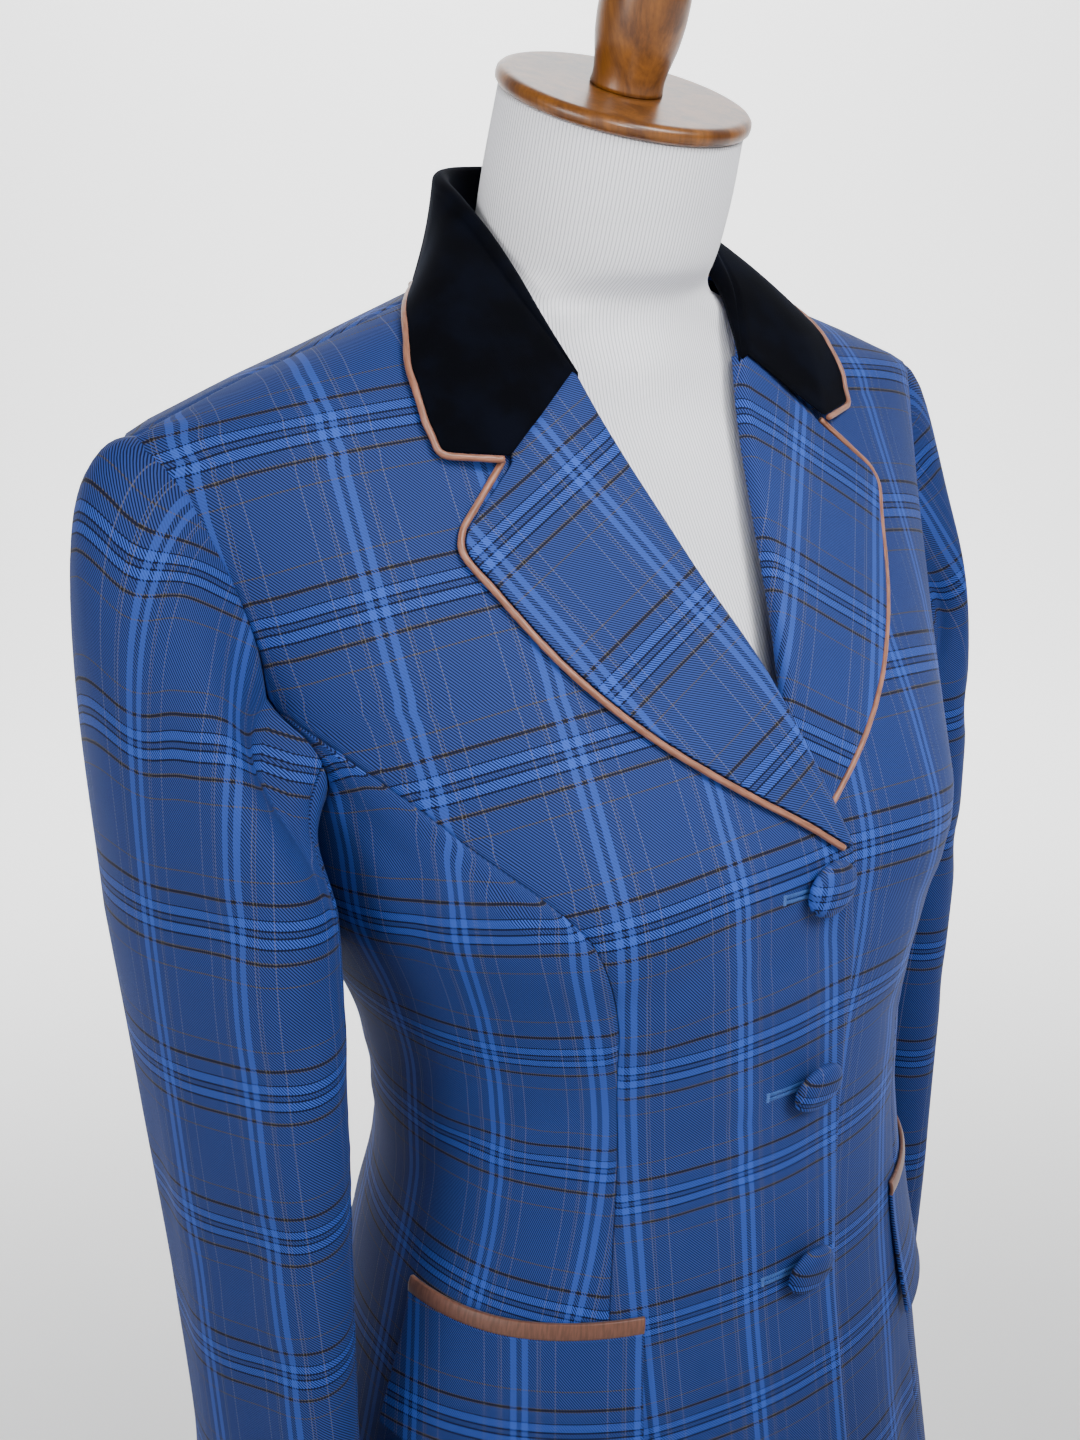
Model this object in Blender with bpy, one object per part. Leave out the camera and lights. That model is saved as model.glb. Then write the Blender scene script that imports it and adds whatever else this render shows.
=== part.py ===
"""A riding show coat of checked worsted, buttoned on a limbless dress form.

Units are metres and +Z is up. The coat faces -Y, so its own right side is at -X.
The origin is on the floor, under the middle of the stand.

The coat's skin is a stack of level sections, from the hem to the tops of the shoulders. Each panel is
a stretch of that skin between two seams, given a wall. What lies on a panel is made from the panel's
own points, moved out.
"""

import math

import bmesh
import bpy
import numpy as np

SIDE_NAMES = {1: "left", -1: "right"}  # the coat's own left is at +X

# Cloth
WALL = 0.0020            # worsted with its interlining
COLLAR_WALL = 0.0024     # velvet over an under collar
SEAM_GAP = 0.0003        # between two pieces that are sewn together
CLEAR = 0.0004           # between a piece and the one it lies on

# Heights on the coat
HEM = 0.200
ARMPIT = 0.665           # lowest point of the armhole
JOIN = 0.712             # where the bust seam and the back seam run into the armhole
BREAK = 0.637            # where the lapel starts to turn back
TIP = 0.803              # outer end of the shoulder seam
NECK_POINT = 0.850       # inner end of the shoulder seam

# The front edge and the lapel
OVERLAP = 0.015          # front edge beyond the centre line
ROLL_SLOPE = 0.312       # how far the roll line runs out for each metre up
FOLD_ROOM = 0.0034       # the front panel ends this far short of the fold
LAP_LIFT = 0.0029        # right front over left front
LAPEL_LAP_LIFT = 0.0068  # right front over the left lapel
LAP_SPREAD = 0.055       # the lift fades out over this width

# The coat's skin, level by level: half width at the side, depth at the front and the back, squareness
COAT_COLUMNS = ("height", "half_width", "front", "back", "centre_y", "power")
COAT_SECTIONS = (
    (0.200, 0.1620, 0.1520, 0.1600, 0.0000, 2.10),
    (0.260, 0.1560, 0.1450, 0.1500, -0.0020, 2.10),
    (0.330, 0.1500, 0.1370, 0.1350, -0.0080, 2.10),
    (0.400, 0.1410, 0.1290, 0.1160, -0.0180, 2.15),
    (0.450, 0.1330, 0.1250, 0.0980, -0.0260, 2.15),
    (0.505, 0.1240, 0.1260, 0.0790, -0.0290, 2.15),
    (0.550, 0.1255, 0.1290, 0.0770, -0.0260, 2.20),
    (0.590, 0.1365, 0.1320, 0.0850, -0.0200, 2.25),
    (0.628, 0.1540, 0.1330, 0.1010, -0.0140, 2.30),
    (0.665, 0.1620, 0.1240, 0.1060, -0.0080, 2.30),
    (0.712, 0.1760, 0.1040, 0.1080, -0.0020, 2.25),
    (0.756, 0.1880, 0.0800, 0.1020, 0.0020, 2.20),
    (0.787, 0.1955, 0.0630, 0.0905, 0.0030, 2.10),
    (0.803, 0.1980, 0.0555, 0.0820, 0.0030, 2.00),
    (0.819, 0.1640, 0.0495, 0.0735, 0.0030, 2.00),
    (0.834, 0.1200, 0.0445, 0.0640, 0.0020, 2.00),
    (0.852, 0.0680, 0.0400, 0.0500, 0.0010, 2.00),
)
BUST_RISE, BUST_X, BUST_HEIGHT, BUST_WIDE, BUST_TALL = 0.010, 0.088, 0.626, 0.050, 0.058

# Soft folds where the skirt flares: how far round from the centre front, depth at the hem, width
FOLD_COLUMNS = ("turn", "depth", "width")
SKIRT_FOLDS = ((48.0, 0.005, 16.0), (96.0, 0.008, 14.0), (138.0, 0.007, 13.0))
FOLD_TOP = 0.430

# Seams and edges as distances from the centre line, level by level
BUST_SEAM = ((0.200, 0.102), (0.340, 0.094), (0.450, 0.085), (0.520, 0.080), (0.580, 0.084),
             (0.622, 0.096), (0.665, 0.130), (0.712, 0.171))
BACK_SEAM = ((0.200, 0.105), (0.340, 0.096), (0.450, 0.078), (0.520, 0.078), (0.600, 0.100),
             (0.665, 0.136), (0.712, 0.168))
FRONT_ARMHOLE = ((0.712, 0.171), (0.736, 0.174), (0.760, 0.180), (0.784, 0.188), (0.803, 0.198))
BACK_ARMHOLE = ((0.712, 0.168), (0.736, 0.173), (0.760, 0.179), (0.784, 0.188), (0.803, 0.198))

# The lapel's outer edge, from the break up to its rounded corner
LAPEL_COLUMNS = ("share", "x", "height")
LAPEL_EDGE = (
    (0.00, -0.0095, 0.6405),
    (0.12, 0.0100, 0.6540),
    (0.28, 0.0390, 0.6760),
    (0.45, 0.0640, 0.6980),
    (0.62, 0.0840, 0.7220),
    (0.80, 0.0990, 0.7480),
    (0.92, 0.1060, 0.7620),
    (1.00, 0.1035, 0.7680),
)
LAPEL_SHARES = (0.0, 0.036, 0.10, 0.24, 0.48, 0.75, 1.0)  # columns, closer together at the fold
GORGE_TOP = 0.822        # height where the seam between lapel and collar meets the fold
LEFT_LAPEL_START = 0.05  # below this share of its length the left lapel is tucked away
LAPEL_RISE = 0.0050      # how far the lapel's outer face stands off the front near the fold
LAPEL_REST = 0.0030      # and at its outer edge
PIPING = 0.0013          # radius of the corded piping

# The collar, round the neck from the gorge to the centre back. The edge lies on the coat's skin, and the
# fall rounds out by bulge between the fold and the edge
COLLAR_COLUMNS = ("share", "fold_x", "fold_y", "fold_height", "edge_turn", "edge_height", "stand", "bulge")
COLLAR_SECTIONS = (
    (0.00, 0.0465, -0.0560, 0.8250, 31.2, 0.7935, 0.004, 0.0042),
    (0.16, 0.0515, -0.0340, 0.8500, 38.5, 0.8160, 0.006, 0.0040),
    (0.32, 0.0545, -0.0080, 0.8770, 59.0, 0.8355, 0.011, 0.0010),
    (0.46, 0.0520, 0.0120, 0.8890, 86.0, 0.8470, 0.024, -0.0020),
    (0.62, 0.0430, 0.0300, 0.8955, 119.0, 0.8490, 0.036, -0.0010),
    (0.80, 0.0240, 0.0425, 0.8980, 151.0, 0.8480, 0.044, 0.0),
    (1.00, 0.0000, 0.0465, 0.8985, 180.0, 0.8470, 0.046, 0.0),
)
COLLAR_STEPS = 15        # rows from the gorge to the centre back
NOTCH_X, NOTCH_HEIGHT, NOTCH_SHARE = 0.0805, 0.7888, 0.62  # where the collar and the lapel part
FOLD_RADIUS = 0.0034     # of the collar's rolled top edge
COLLAR_REST = 0.0030     # outer face of the collar's edge above the coat

# Sleeve: rings down from the armhole, and the sizes of a ring across and from front to back
BICEPS = 0.630
SLEEVE_COLUMNS = ("height", "centre_x", "centre_y", "half_across", "half_deep")
SLEEVE_RINGS = (
    (0.630, 0.1855, -0.0050, 0.0370, 0.0650),
    (0.560, 0.1850, -0.0060, 0.0340, 0.0610),
    (0.500, 0.1850, -0.0060, 0.0315, 0.0560),
    (0.400, 0.1850, -0.0050, 0.0285, 0.0500),
    (0.330, 0.1880, 0.0010, 0.0270, 0.0480),
    (0.257, 0.1950, 0.0120, 0.0260, 0.0470),
)
CUFF = 0.257
SLEEVE_CLEAR = 0.0022     # between the sleeve and the side it hangs by
SEAM_BEVEL = 0.12         # how far a sleeve seam slants in, as a share of a column
SLEEVE_SOFT = 0.0050      # how softly the sleeve gives way to that side
CAP_RISE = 0.040         # how far the sleeve head runs out before it turns down
SLEEVE_SHIFT = {1: (-0.006, 0.011), -1: (0.0, 0.0)}  # how each sleeve hangs, sideways and back
CREASE_DEPTH, CREASE_TURN, CREASE_WIDE = 0.007, 48.0, 22.0  # soft valley down the outside of the sleeve
TOP_SLEEVE = (-38.0, 200.0)  # the top sleeve's two seams, round from the front, the outside being 90

# Pockets
POCKET_COLUMNS = ("share", "turn", "height")
POCKET_LINE = ((0.0, 31.5, 0.4565), (0.5, 56.0, 0.4575), (1.0, 86.0, 0.4615))
WELT_TALL, WELT_WALL = 0.0085, 0.0022
FLAP_TALL, FLAP_FLARE = 0.0600, 0.0045

# Buttons
BUTTON_HEIGHTS = (0.628, 0.5425, 0.457)
BUTTON_PROFILE = ((0.0040, 0.0000), (0.0040, 0.0012), (0.0104, 0.0020), (0.0120, 0.0038), (0.0112, 0.0058),
                  (0.0078, 0.0076), (0.0036, 0.0084))
BUTTON_SEGMENTS = 20
BUTTON_DROOP = (6.0, 16.0, 14.0)  # degrees, how far each button's face hangs down

# Dress form and stand
FORM_COLUMNS = ("height", "half_width", "front", "back", "centre_y", "tilt")
FORM_SECTIONS = (
    (0.245, 0.132, 0.112, 0.112, -0.002, 0.0),
    (0.300, 0.138, 0.118, 0.118, -0.005, 0.0),
    (0.330, 0.137, 0.118, 0.114, -0.008, 0.0),
    (0.400, 0.126, 0.112, 0.095, -0.018, 0.0),
    (0.450, 0.117, 0.108, 0.079, -0.026, 0.0),
    (0.505, 0.111, 0.107, 0.067, -0.029, 0.0),
    (0.550, 0.117, 0.110, 0.071, -0.026, 0.0),
    (0.590, 0.129, 0.114, 0.080, -0.020, 0.0),
    (0.628, 0.140, 0.116, 0.088, -0.014, 0.0),
    (0.665, 0.147, 0.109, 0.093, -0.008, 0.0),
    (0.712, 0.153, 0.092, 0.095, -0.002, 0.0),
    (0.756, 0.160, 0.071, 0.090, 0.002, 0.0),
    (0.785, 0.165, 0.057, 0.080, 0.003, 0.0),
    (0.800, 0.163, 0.0490, 0.0720, 0.003, 0.0),
    (0.815, 0.1500, 0.0435, 0.0640, 0.003, 0.0),
    (0.8314, 0.1185, 0.0385, 0.0540, 0.002, 0.0),
    (0.846, 0.0605, 0.0440, 0.0420, -0.004, 3.0),
    (0.860, 0.0492, 0.0590, 0.0370, -0.011, 8.0),
    (0.884, 0.0498, 0.0690, 0.0270, -0.021, 16.0),
    (0.9143, 0.0480, 0.0800, 0.0155, -0.0324, 23.0),
)
FORM_SEGMENTS = 36
THROAT_RISE, THROAT_WIDE, THROAT_HEIGHT, THROAT_TALL = 0.008, 0.028, 0.826, 0.022
CAP_CENTRE_Y, CAP_HEIGHT, CAP_TILT = -0.0350, 0.9205, 23.0  # of the cap's top face
CAP_THICK = 0.0062
CAP_PROFILE = ((0.0475, 0.0000), (0.0496, 0.0014), (0.0498, 0.0038), (0.0488, 0.0056), (0.0465, 0.0062))
FINIAL_PROFILE = ((0.0142, 0.000), (0.0138, 0.004), (0.0150, 0.012), (0.0166, 0.022), (0.0169, 0.030),
                  (0.0158, 0.040), (0.0126, 0.048), (0.0078, 0.053), (0.0035, 0.055))
POLE_RADIUS = 0.0160
BASE_PROFILE = ((0.1620, 0.0000), (0.1650, 0.0030), (0.1650, 0.0140), (0.1600, 0.0190), (0.0600, 0.0240),
                (0.0300, 0.0260), (0.0220, 0.0340), (0.0220, 0.0420))
BASE_SEGMENTS = 48

# How finely the solids are cut
LOWER_ROWS, CHEST_ROWS, ARMHOLE_ROWS, SHOULDER_ROWS = 12, 3, 6, 4
FRONT_COLUMNS, SIDE_COLUMNS, BACK_COLUMNS = 9, 8, 9
ARC_SAMPLES = 80

# Colour (linear red, green, blue), roughness, metallic
FINISHES = {
    "checked worsted": ((0.045, 0.105, 0.300), 0.75, 0.0),
    "black velvet": ((0.004, 0.005, 0.010), 0.90, 0.0),
    "copper satin piping": ((0.480, 0.220, 0.140), 0.45, 0.0),
    "white ticking cover": ((0.700, 0.700, 0.740), 0.85, 0.0),
    "stained wood": ((0.230, 0.105, 0.040), 0.40, 0.0),
}


def smooth(places, values):
    """A function through the points, smooth and without overshoot."""
    x, y = np.asarray(places, float), np.asarray(values, float)
    step = np.diff(x)
    rise = np.diff(y) / step
    slope = np.zeros_like(y)
    near, far = 2 * step[1:] + step[:-1], step[1:] + 2 * step[:-1]
    same_way = rise[:-1] * rise[1:] > 0
    below, above = np.where(same_way, rise[:-1], 1.0), np.where(same_way, rise[1:], 1.0)
    slope[1:-1] = np.where(same_way, (near + far) / (near / below + far / above), 0.0)
    slope[0], slope[-1] = rise[0], rise[-1]

    def at(place):
        place = np.clip(place, x[0], x[-1])
        k = np.clip(np.searchsorted(x, place) - 1, 0, len(step) - 1)
        t = (place - x[k]) / step[k]
        start = y[k] * (1 + 2 * t) + step[k] * slope[k] * t
        end = y[k + 1] * (3 - 2 * t) - step[k] * slope[k + 1] * (1 - t)
        return start * (1 - t) ** 2 + end * t ** 2

    return at


def columns_of(table, names):
    """The table's other columns as smooth functions of its first one."""
    data = np.array(table, float).T
    return {name: smooth(data[0], data[i]) for i, name in enumerate(names) if i}


def ease(t):
    """0 to 1, starting and ending softly."""
    t = np.clip(t, 0.0, 1.0)
    return t * t * (3 - 2 * t)


def hump(distance, width):
    """1 at no distance, fading out on both sides."""
    return np.exp(-(distance / width) ** 2)


COAT = columns_of(COAT_SECTIONS, COAT_COLUMNS)
SLEEVE = columns_of(SLEEVE_RINGS[::-1], SLEEVE_COLUMNS)
FORM = columns_of(FORM_SECTIONS, FORM_COLUMNS)
COLLAR = columns_of(COLLAR_SECTIONS, COLLAR_COLUMNS)
POCKET = columns_of(POCKET_LINE, POCKET_COLUMNS)
BUST_SEAM_AT, BACK_SEAM_AT = smooth(*np.array(BUST_SEAM).T), smooth(*np.array(BACK_SEAM).T)
FRONT_ARMHOLE_AT, BACK_ARMHOLE_AT = smooth(*np.array(FRONT_ARMHOLE).T), smooth(*np.array(BACK_ARMHOLE).T)
LAPEL = columns_of(LAPEL_EDGE, LAPEL_COLUMNS)


def coat_skin(turn, height):
    """Points of the coat's outer skin on its left side. turn is in degrees round from the centre front."""
    turn, height = np.broadcast_arrays(np.asarray(turn, float), np.asarray(height, float))
    angle = np.radians(turn)
    power = 2.0 / COAT["power"](height)
    x = COAT["half_width"](height) * np.sign(np.sin(angle)) * np.abs(np.sin(angle)) ** power
    in_front = np.cos(angle) >= 0
    centre = COAT["centre_y"](height)
    depth = np.where(in_front, -COAT["front"](height), COAT["back"](height)) - centre
    y = centre + depth * np.abs(np.cos(angle)) ** power
    bust = BUST_RISE * hump(np.abs(x) - BUST_X, BUST_WIDE) * hump(height - BUST_HEIGHT, BUST_TALL)
    y = y - np.where(in_front, bust * np.abs(np.cos(angle)) ** power, 0.0)
    flare = ease((FOLD_TOP - height) / (FOLD_TOP - HEM))
    ripple = sum(depth_at_hem * hump(np.abs(turn) - at, wide) for at, depth_at_hem, wide in SKIRT_FOLDS)
    x, y = x * (1 + flare * ripple / 0.18), y * (1 + flare * ripple / 0.15)
    return np.stack([x, y, height], -1)


def skin_normal(turn, height):
    """Outward unit normals of the coat's skin."""
    across = coat_skin(np.asarray(turn) + 0.6, height) - coat_skin(np.asarray(turn) - 0.6, height)
    up = coat_skin(turn, np.asarray(height) + 0.0015) - coat_skin(turn, np.asarray(height) - 0.0015)
    normal = np.cross(across, up)
    return normal / np.linalg.norm(normal, axis=-1, keepdims=True)


def moved_out(turn, height, distance):
    """Points of the coat's skin, moved out along its normals."""
    return coat_skin(turn, height) + skin_normal(turn, height) * np.asarray(distance)[..., None]


def turn_at(x, height, back=False):
    """How far round the skin is x metres from the centre line. x may be negative, past the centre front."""
    share = np.clip(np.abs(x) / COAT["half_width"](height), 0.0, 1.0)
    turn = np.degrees(np.arcsin(share ** (COAT["power"](height) / 2.0)))
    return np.where(back, 180.0 - turn, np.sign(x) * turn)


def arc_turns(start, end, height, count, keep_off=SEAM_GAP / 2):
    """count turns from start to end, evenly spaced along the skin and kept off both ends."""
    turns = np.linspace(start, end, ARC_SAMPLES)
    points = coat_skin(turns, height)
    along = np.concatenate([[0.0], np.cumsum(np.linalg.norm(np.diff(points, axis=0), axis=1))])
    return np.interp(np.linspace(keep_off, along[-1] - keep_off, count), along, turns)


def to_side(points, side):
    """Points of the left side carried to the side: 1 is the coat's left, -1 its right."""
    return points * np.array([side, 1.0, 1.0])


def roll_line(height):
    """The lapel's fold, as distance from the centre line."""
    return -OVERLAP + ROLL_SLOPE * (height - BREAK)


def front_lift(turn, height, side):
    """How far the right front stands off the skin, so that it clears the left front and lapel under it."""
    x = coat_skin(turn, height)[..., 0]
    over_lapel = ease((height - 0.600) / 0.035) * ease((0.745 - height) / 0.045)
    lift = LAP_LIFT + (LAPEL_LAP_LIFT - LAP_LIFT) * over_lapel
    return (side < 0) * lift * ease((LAP_SPREAD - x) / LAP_SPREAD)


def material_of(name, finish):
    """A material of the piece's own, in one of the finishes."""
    colour, roughness, metallic = FINISHES[finish]
    material = bpy.data.materials.new(f"{name} {finish}")
    material.use_nodes = True
    shader = material.node_tree.nodes["Principled BSDF"]
    shader.inputs["Base Color"].default_value = (*colour, 1.0)
    shader.inputs["Roughness"].default_value = roughness
    shader.inputs["Metallic"].default_value = metallic
    return material


def finish_object(name, mesh_maker, finish):
    """Links a new object made from a bmesh, with its faces pointing out and its round parts smooth."""
    bmesh.ops.recalc_face_normals(mesh_maker, faces=mesh_maker.faces)
    mesh = bpy.data.meshes.new(name)
    mesh_maker.to_mesh(mesh)
    mesh_maker.free()
    mesh.shade_smooth()
    mesh.set_sharp_from_angle(angle=math.radians(40))
    mesh.materials.append(material_of(name, finish))
    thing = bpy.data.objects.new(name, mesh)
    bpy.context.scene.collection.objects.link(thing)
    return thing


def wall(name, outer, inner, finish):
    """A closed wall between two grids of points, rows by columns."""
    rows, columns = outer.shape[:2]
    maker = bmesh.new()
    sheets = [[[maker.verts.new(p) for p in row] for row in grid] for grid in (outer, inner)]
    for sheet in sheets:
        for r in range(rows - 1):
            for c in range(columns - 1):
                maker.faces.new((sheet[r][c], sheet[r][c + 1], sheet[r + 1][c + 1], sheet[r + 1][c]))
    rim = [(0, c) for c in range(columns)]
    rim += [(r, columns - 1) for r in range(1, rows)]
    rim += [(rows - 1, c) for c in range(columns - 2, -1, -1)]
    rim += [(r, 0) for r in range(rows - 2, 0, -1)]
    for (r, c), (r2, c2) in zip(rim, rim[1:] + rim[:1]):
        maker.faces.new((sheets[0][r][c], sheets[0][r2][c2], sheets[1][r2][c2], sheets[1][r][c]))
    return finish_object(name, maker, finish)


def grid_normals(grid):
    """Unit normals of a grid of points, from its rows and columns."""
    along, across = np.gradient(grid, axis=0), np.gradient(grid, axis=1)
    normal = np.cross(across, along)
    return normal / np.maximum(np.linalg.norm(normal, axis=-1, keepdims=True), 1e-12)


def lower_heights():
    """Rows from the hem up to where the long seams end, one of them at the break."""
    up_to_break = np.linspace(HEM, BREAK, LOWER_ROWS + 1)
    return np.concatenate([up_to_break, np.linspace(BREAK, JOIN, CHEST_ROWS + 1)[1:]])


def upper_heights():
    """Rows above the lower ones, up the armhole and the shoulder."""
    up_armhole = np.linspace(JOIN, TIP, ARMHOLE_ROWS + 1)[1:]
    up_shoulder = np.linspace(TIP, NECK_POINT, SHOULDER_ROWS + 1)[1:]
    return np.concatenate([up_armhole, up_shoulder])


def outer_seam(height, back):
    """How far round a front or back panel reaches: its long seam, then the armhole, then the shoulder."""
    seam, armhole = (BACK_SEAM_AT, BACK_ARMHOLE_AT) if back else (BUST_SEAM_AT, FRONT_ARMHOLE_AT)
    if height >= TIP:
        return 90.0
    return float(turn_at(seam(height) if height <= JOIN else armhole(height), height, back))


def panel_walls(name, heights, turns, lift, side):
    """A panel's wall from its rows of turns, with its outer face lifted off the skin by lift."""
    height_grid = np.broadcast_to(np.asarray(heights)[:, None], turns.shape)
    outer = moved_out(turns, height_grid, lift)
    inner = moved_out(turns, height_grid, lift - WALL)
    return wall(name, to_side(outer, side), to_side(inner, side), "checked worsted")


def make_front(side):
    """A centre front, from the front edge and the fold of the lapel out to the bust seam and the armhole."""
    lower, upper = lower_heights(), upper_heights()
    heights = np.concatenate([lower, upper])
    rows = []
    for height in heights:
        inner_x = -OVERLAP if height <= BREAK else roll_line(height) + FOLD_ROOM
        rows.append(arc_turns(float(turn_at(inner_x, height)), outer_seam(height, False), height, FRONT_COLUMNS))
    turns = np.array(rows)
    lift = front_lift(turns, np.broadcast_to(heights[:, None], turns.shape), side)
    panel_walls("front_" + SIDE_NAMES[side], heights, turns, lift, side)


def side_turn(share, height):
    """How far round the skin is, at that share of the way from the bust seam to the side-back seam."""
    turns = np.linspace(outer_seam(height, False), outer_seam(height, True), ARC_SAMPLES)
    points = coat_skin(turns, height)
    along = np.concatenate([[0.0], np.cumsum(np.linalg.norm(np.diff(points, axis=0), axis=1))])
    place = SEAM_GAP / 2 + (along[-1] - SEAM_GAP) * share
    return float(np.interp(place, along, turns))


def armhole_bottom(share):
    """Height of the side panel's top edge, which dips under the arm."""
    return JOIN - (JOIN - ARMPIT) * np.sin(np.pi * np.asarray(share)) ** 0.8


def make_side(side):
    """A side panel, under the arm, whose top edge is the bottom of the armhole."""
    across = np.linspace(0.0, 1.0, SIDE_COLUMNS)
    tops = armhole_bottom(across)
    share_up = (lower_heights() - HEM) / (JOIN - HEM)
    height_grid = HEM + share_up[:, None] * (tops - HEM)[None, :]
    turns = np.array([[side_turn(share, height) for share, height in zip(across, row)] for row in height_grid])
    panel = moved_out(turns, height_grid, np.zeros_like(turns))
    inner = moved_out(turns, height_grid, np.full_like(turns, -WALL))
    wall("side_" + SIDE_NAMES[side], to_side(panel, side), to_side(inner, side), "checked worsted")


def make_back(side):
    """Half of the back, from the side-back seam and the armhole to the centre back."""
    heights = np.concatenate([lower_heights(), upper_heights()])
    turns = np.array([arc_turns(outer_seam(h, True), 180.0, h, BACK_COLUMNS) for h in heights])
    panel_walls("back_" + SIDE_NAMES[side], heights, turns, np.zeros_like(turns), side)


def armhole_loop(count):
    """Points round the armhole, from the front at its middle, up over the shoulder tip, and round."""
    up_front = np.linspace(JOIN, TIP, 24)
    front = coat_skin(turn_at(FRONT_ARMHOLE_AT(up_front), up_front), up_front)
    back = coat_skin(turn_at(BACK_ARMHOLE_AT(up_front), up_front, True), up_front)
    across = np.linspace(1.0, 0.0, 40)
    under = [coat_skin(side_turn(share, float(armhole_bottom(share))), armhole_bottom(share)) for share in across]
    loop = np.concatenate([front, back[::-1][1:], np.array(under)[1:-1]])
    closed = np.concatenate([loop, loop[:1]])
    along = np.concatenate([[0.0], np.cumsum(np.linalg.norm(np.diff(closed, axis=0), axis=1))])
    places = np.linspace(0.0, along[-1], count + 1)[:-1]
    return np.stack([np.interp(places, along, closed[:, k]) for k in range(3)], -1)


def sleeve_ring(height, turns, side):
    """A ring of the hanging sleeve. A turn of 0 is its front, 90 its outside."""
    aside, back = SLEEVE_SHIFT[side]
    angle = np.radians(turns)
    across, deep = SLEEVE["half_across"](height), SLEEVE["half_deep"](height)
    away = np.abs((turns - CREASE_TURN + 180.0) % 360.0 - 180.0)
    crease = CREASE_DEPTH * hump(away, CREASE_WIDE) * ease((TIP - 0.05 - height) / 0.12)
    x = SLEEVE["centre_x"](height) + aside + (across - crease) * np.sin(angle)
    y = SLEEVE["centre_y"](height) + back - (deep - crease) * np.cos(angle)
    return np.stack([x, y, np.broadcast_to(height, x.shape)], -1)


def sleeve_grid(turns, cap_rows, arm_rows, side):
    """Rows down a sleeve's outer face: the cap, turning from the armhole into the first ring, then rings."""
    loop = armhole_loop(360)
    centre = loop.mean(axis=0)
    round_loop = np.degrees(np.arctan2(loop[:, 2] - centre[2], -(loop[:, 1] - centre[1])))
    order = np.argsort(round_loop)
    wrapped = np.concatenate([round_loop[order] - 360, round_loop[order], round_loop[order] + 360])
    ring = np.stack([np.interp((turns + 180) % 360 - 180, wrapped, np.tile(loop[order][:, k], 3))
                     for k in range(3)], -1)
    first = sleeve_ring(BICEPS, turns, side)
    up = np.sin(np.radians(turns))
    out_share = 0.5 + 0.5 * up
    start_way = np.stack([0.45 + 0.55 * out_share, -0.25 * np.cos(np.radians(turns)), -0.75 + 0.95 * out_share], -1)
    start_way /= np.linalg.norm(start_way, axis=-1, keepdims=True)
    reach = np.linalg.norm(first - ring, axis=-1)
    leave = ring + start_way * (3 * SEAM_GAP)
    near = leave + start_way * (np.minimum(CAP_RISE, 0.5 * reach)[:, None])
    far = first + np.array([0.0, 0.0, 1.0]) * (0.48 * reach)[:, None]
    rows = []
    for t in np.linspace(0.0, 1.0, cap_rows + 1):
        rows.append(leave * (1 - t) ** 3 + near * 3 * t * (1 - t) ** 2 + far * 3 * t * t * (1 - t) + first * t ** 3)
    for height in np.linspace(BICEPS, CUFF, arm_rows + 1)[1:]:
        rows.append(sleeve_ring(height, turns, side))
    grid = np.array(rows)
    body = side_reach(grid[..., 1], grid[..., 2]) + SLEEVE_CLEAR
    held = ease((np.arange(len(grid)) - 1.0) / 3.0)[:, None]
    short = body - grid[..., 0]
    grid[..., 0] += held * (short + np.sqrt(short ** 2 + SLEEVE_SOFT ** 2)) / 2
    return grid


def side_reach(y, height):
    """How far the coat's side reaches out at that distance back and that height."""
    centre = COAT["centre_y"](height)
    depth = np.where(y < centre, COAT["front"](height) + centre, COAT["back"](height) - centre)
    share = np.clip(np.abs(y - centre) / depth, 0.0, 1.0)
    power = COAT["power"](height)
    flare = ease((FOLD_TOP - height) / (FOLD_TOP - HEM))
    return COAT["half_width"](height) * (1 - share ** power) ** (1 / power) * (1 + flare * 0.05)


def make_sleeve(side):
    """A sleeve in two pieces, the top sleeve over the outside of the arm and the under sleeve."""
    start, end = TOP_SLEEVE
    gap = 0.40
    over_top = np.concatenate([np.linspace(start + gap, 90.0, 8), np.linspace(90.0, end - gap, 8)[1:]])
    stretches = {"top_sleeve": over_top, "under_sleeve": np.linspace(end + gap, start + 360 - gap, 10)}
    for piece, turns in stretches.items():
        grid, before, after = (sleeve_grid(turns + nudge, 8, 11, side) for nudge in (0.0, -1.5, 1.5))
        normals = np.cross(after - before, np.gradient(grid, axis=0))
        normals /= np.linalg.norm(normals, axis=-1, keepdims=True)
        inner = grid + normals * WALL * inwards(grid, normals)
        inner[:, 0] += SEAM_BEVEL * (inner[:, 1] - inner[:, 0])
        inner[:, -1] += SEAM_BEVEL * (inner[:, -2] - inner[:, -1])
        wall(f"{piece}_{SIDE_NAMES[side]}", to_side(grid, side), to_side(inner, side), "checked worsted")


def inwards(grid, normals):
    """1 if the normals point to the middle of the sleeve, or else -1."""
    row = len(grid) // 2
    middle = np.array([SLEEVE["centre_x"](BICEPS), SLEEVE["centre_y"](BICEPS), 0.0])
    outwards = (grid[row] - middle) * np.array([1.0, 1.0, 0.0])
    return -1.0 if (normals[row] * outwards).sum() > 0 else 1.0


def lapel_grid(side, rows):
    """The lapel's outer face, from the fold to its edge, row by row up to the gorge."""
    start = LEFT_LAPEL_START if side > 0 else 0.0
    share = np.linspace(start, 1.0, rows)[:, None]
    across = np.array(LAPEL_SHARES)[None, :]
    fold_height = BREAK + 0.002 + (GORGE_TOP - BREAK - 0.002) * share
    x = roll_line(fold_height) * (1 - across) + LAPEL["x"](share) * across
    height = fold_height * (1 - across) + LAPEL["height"](share) * across
    return x, height, share, across


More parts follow.
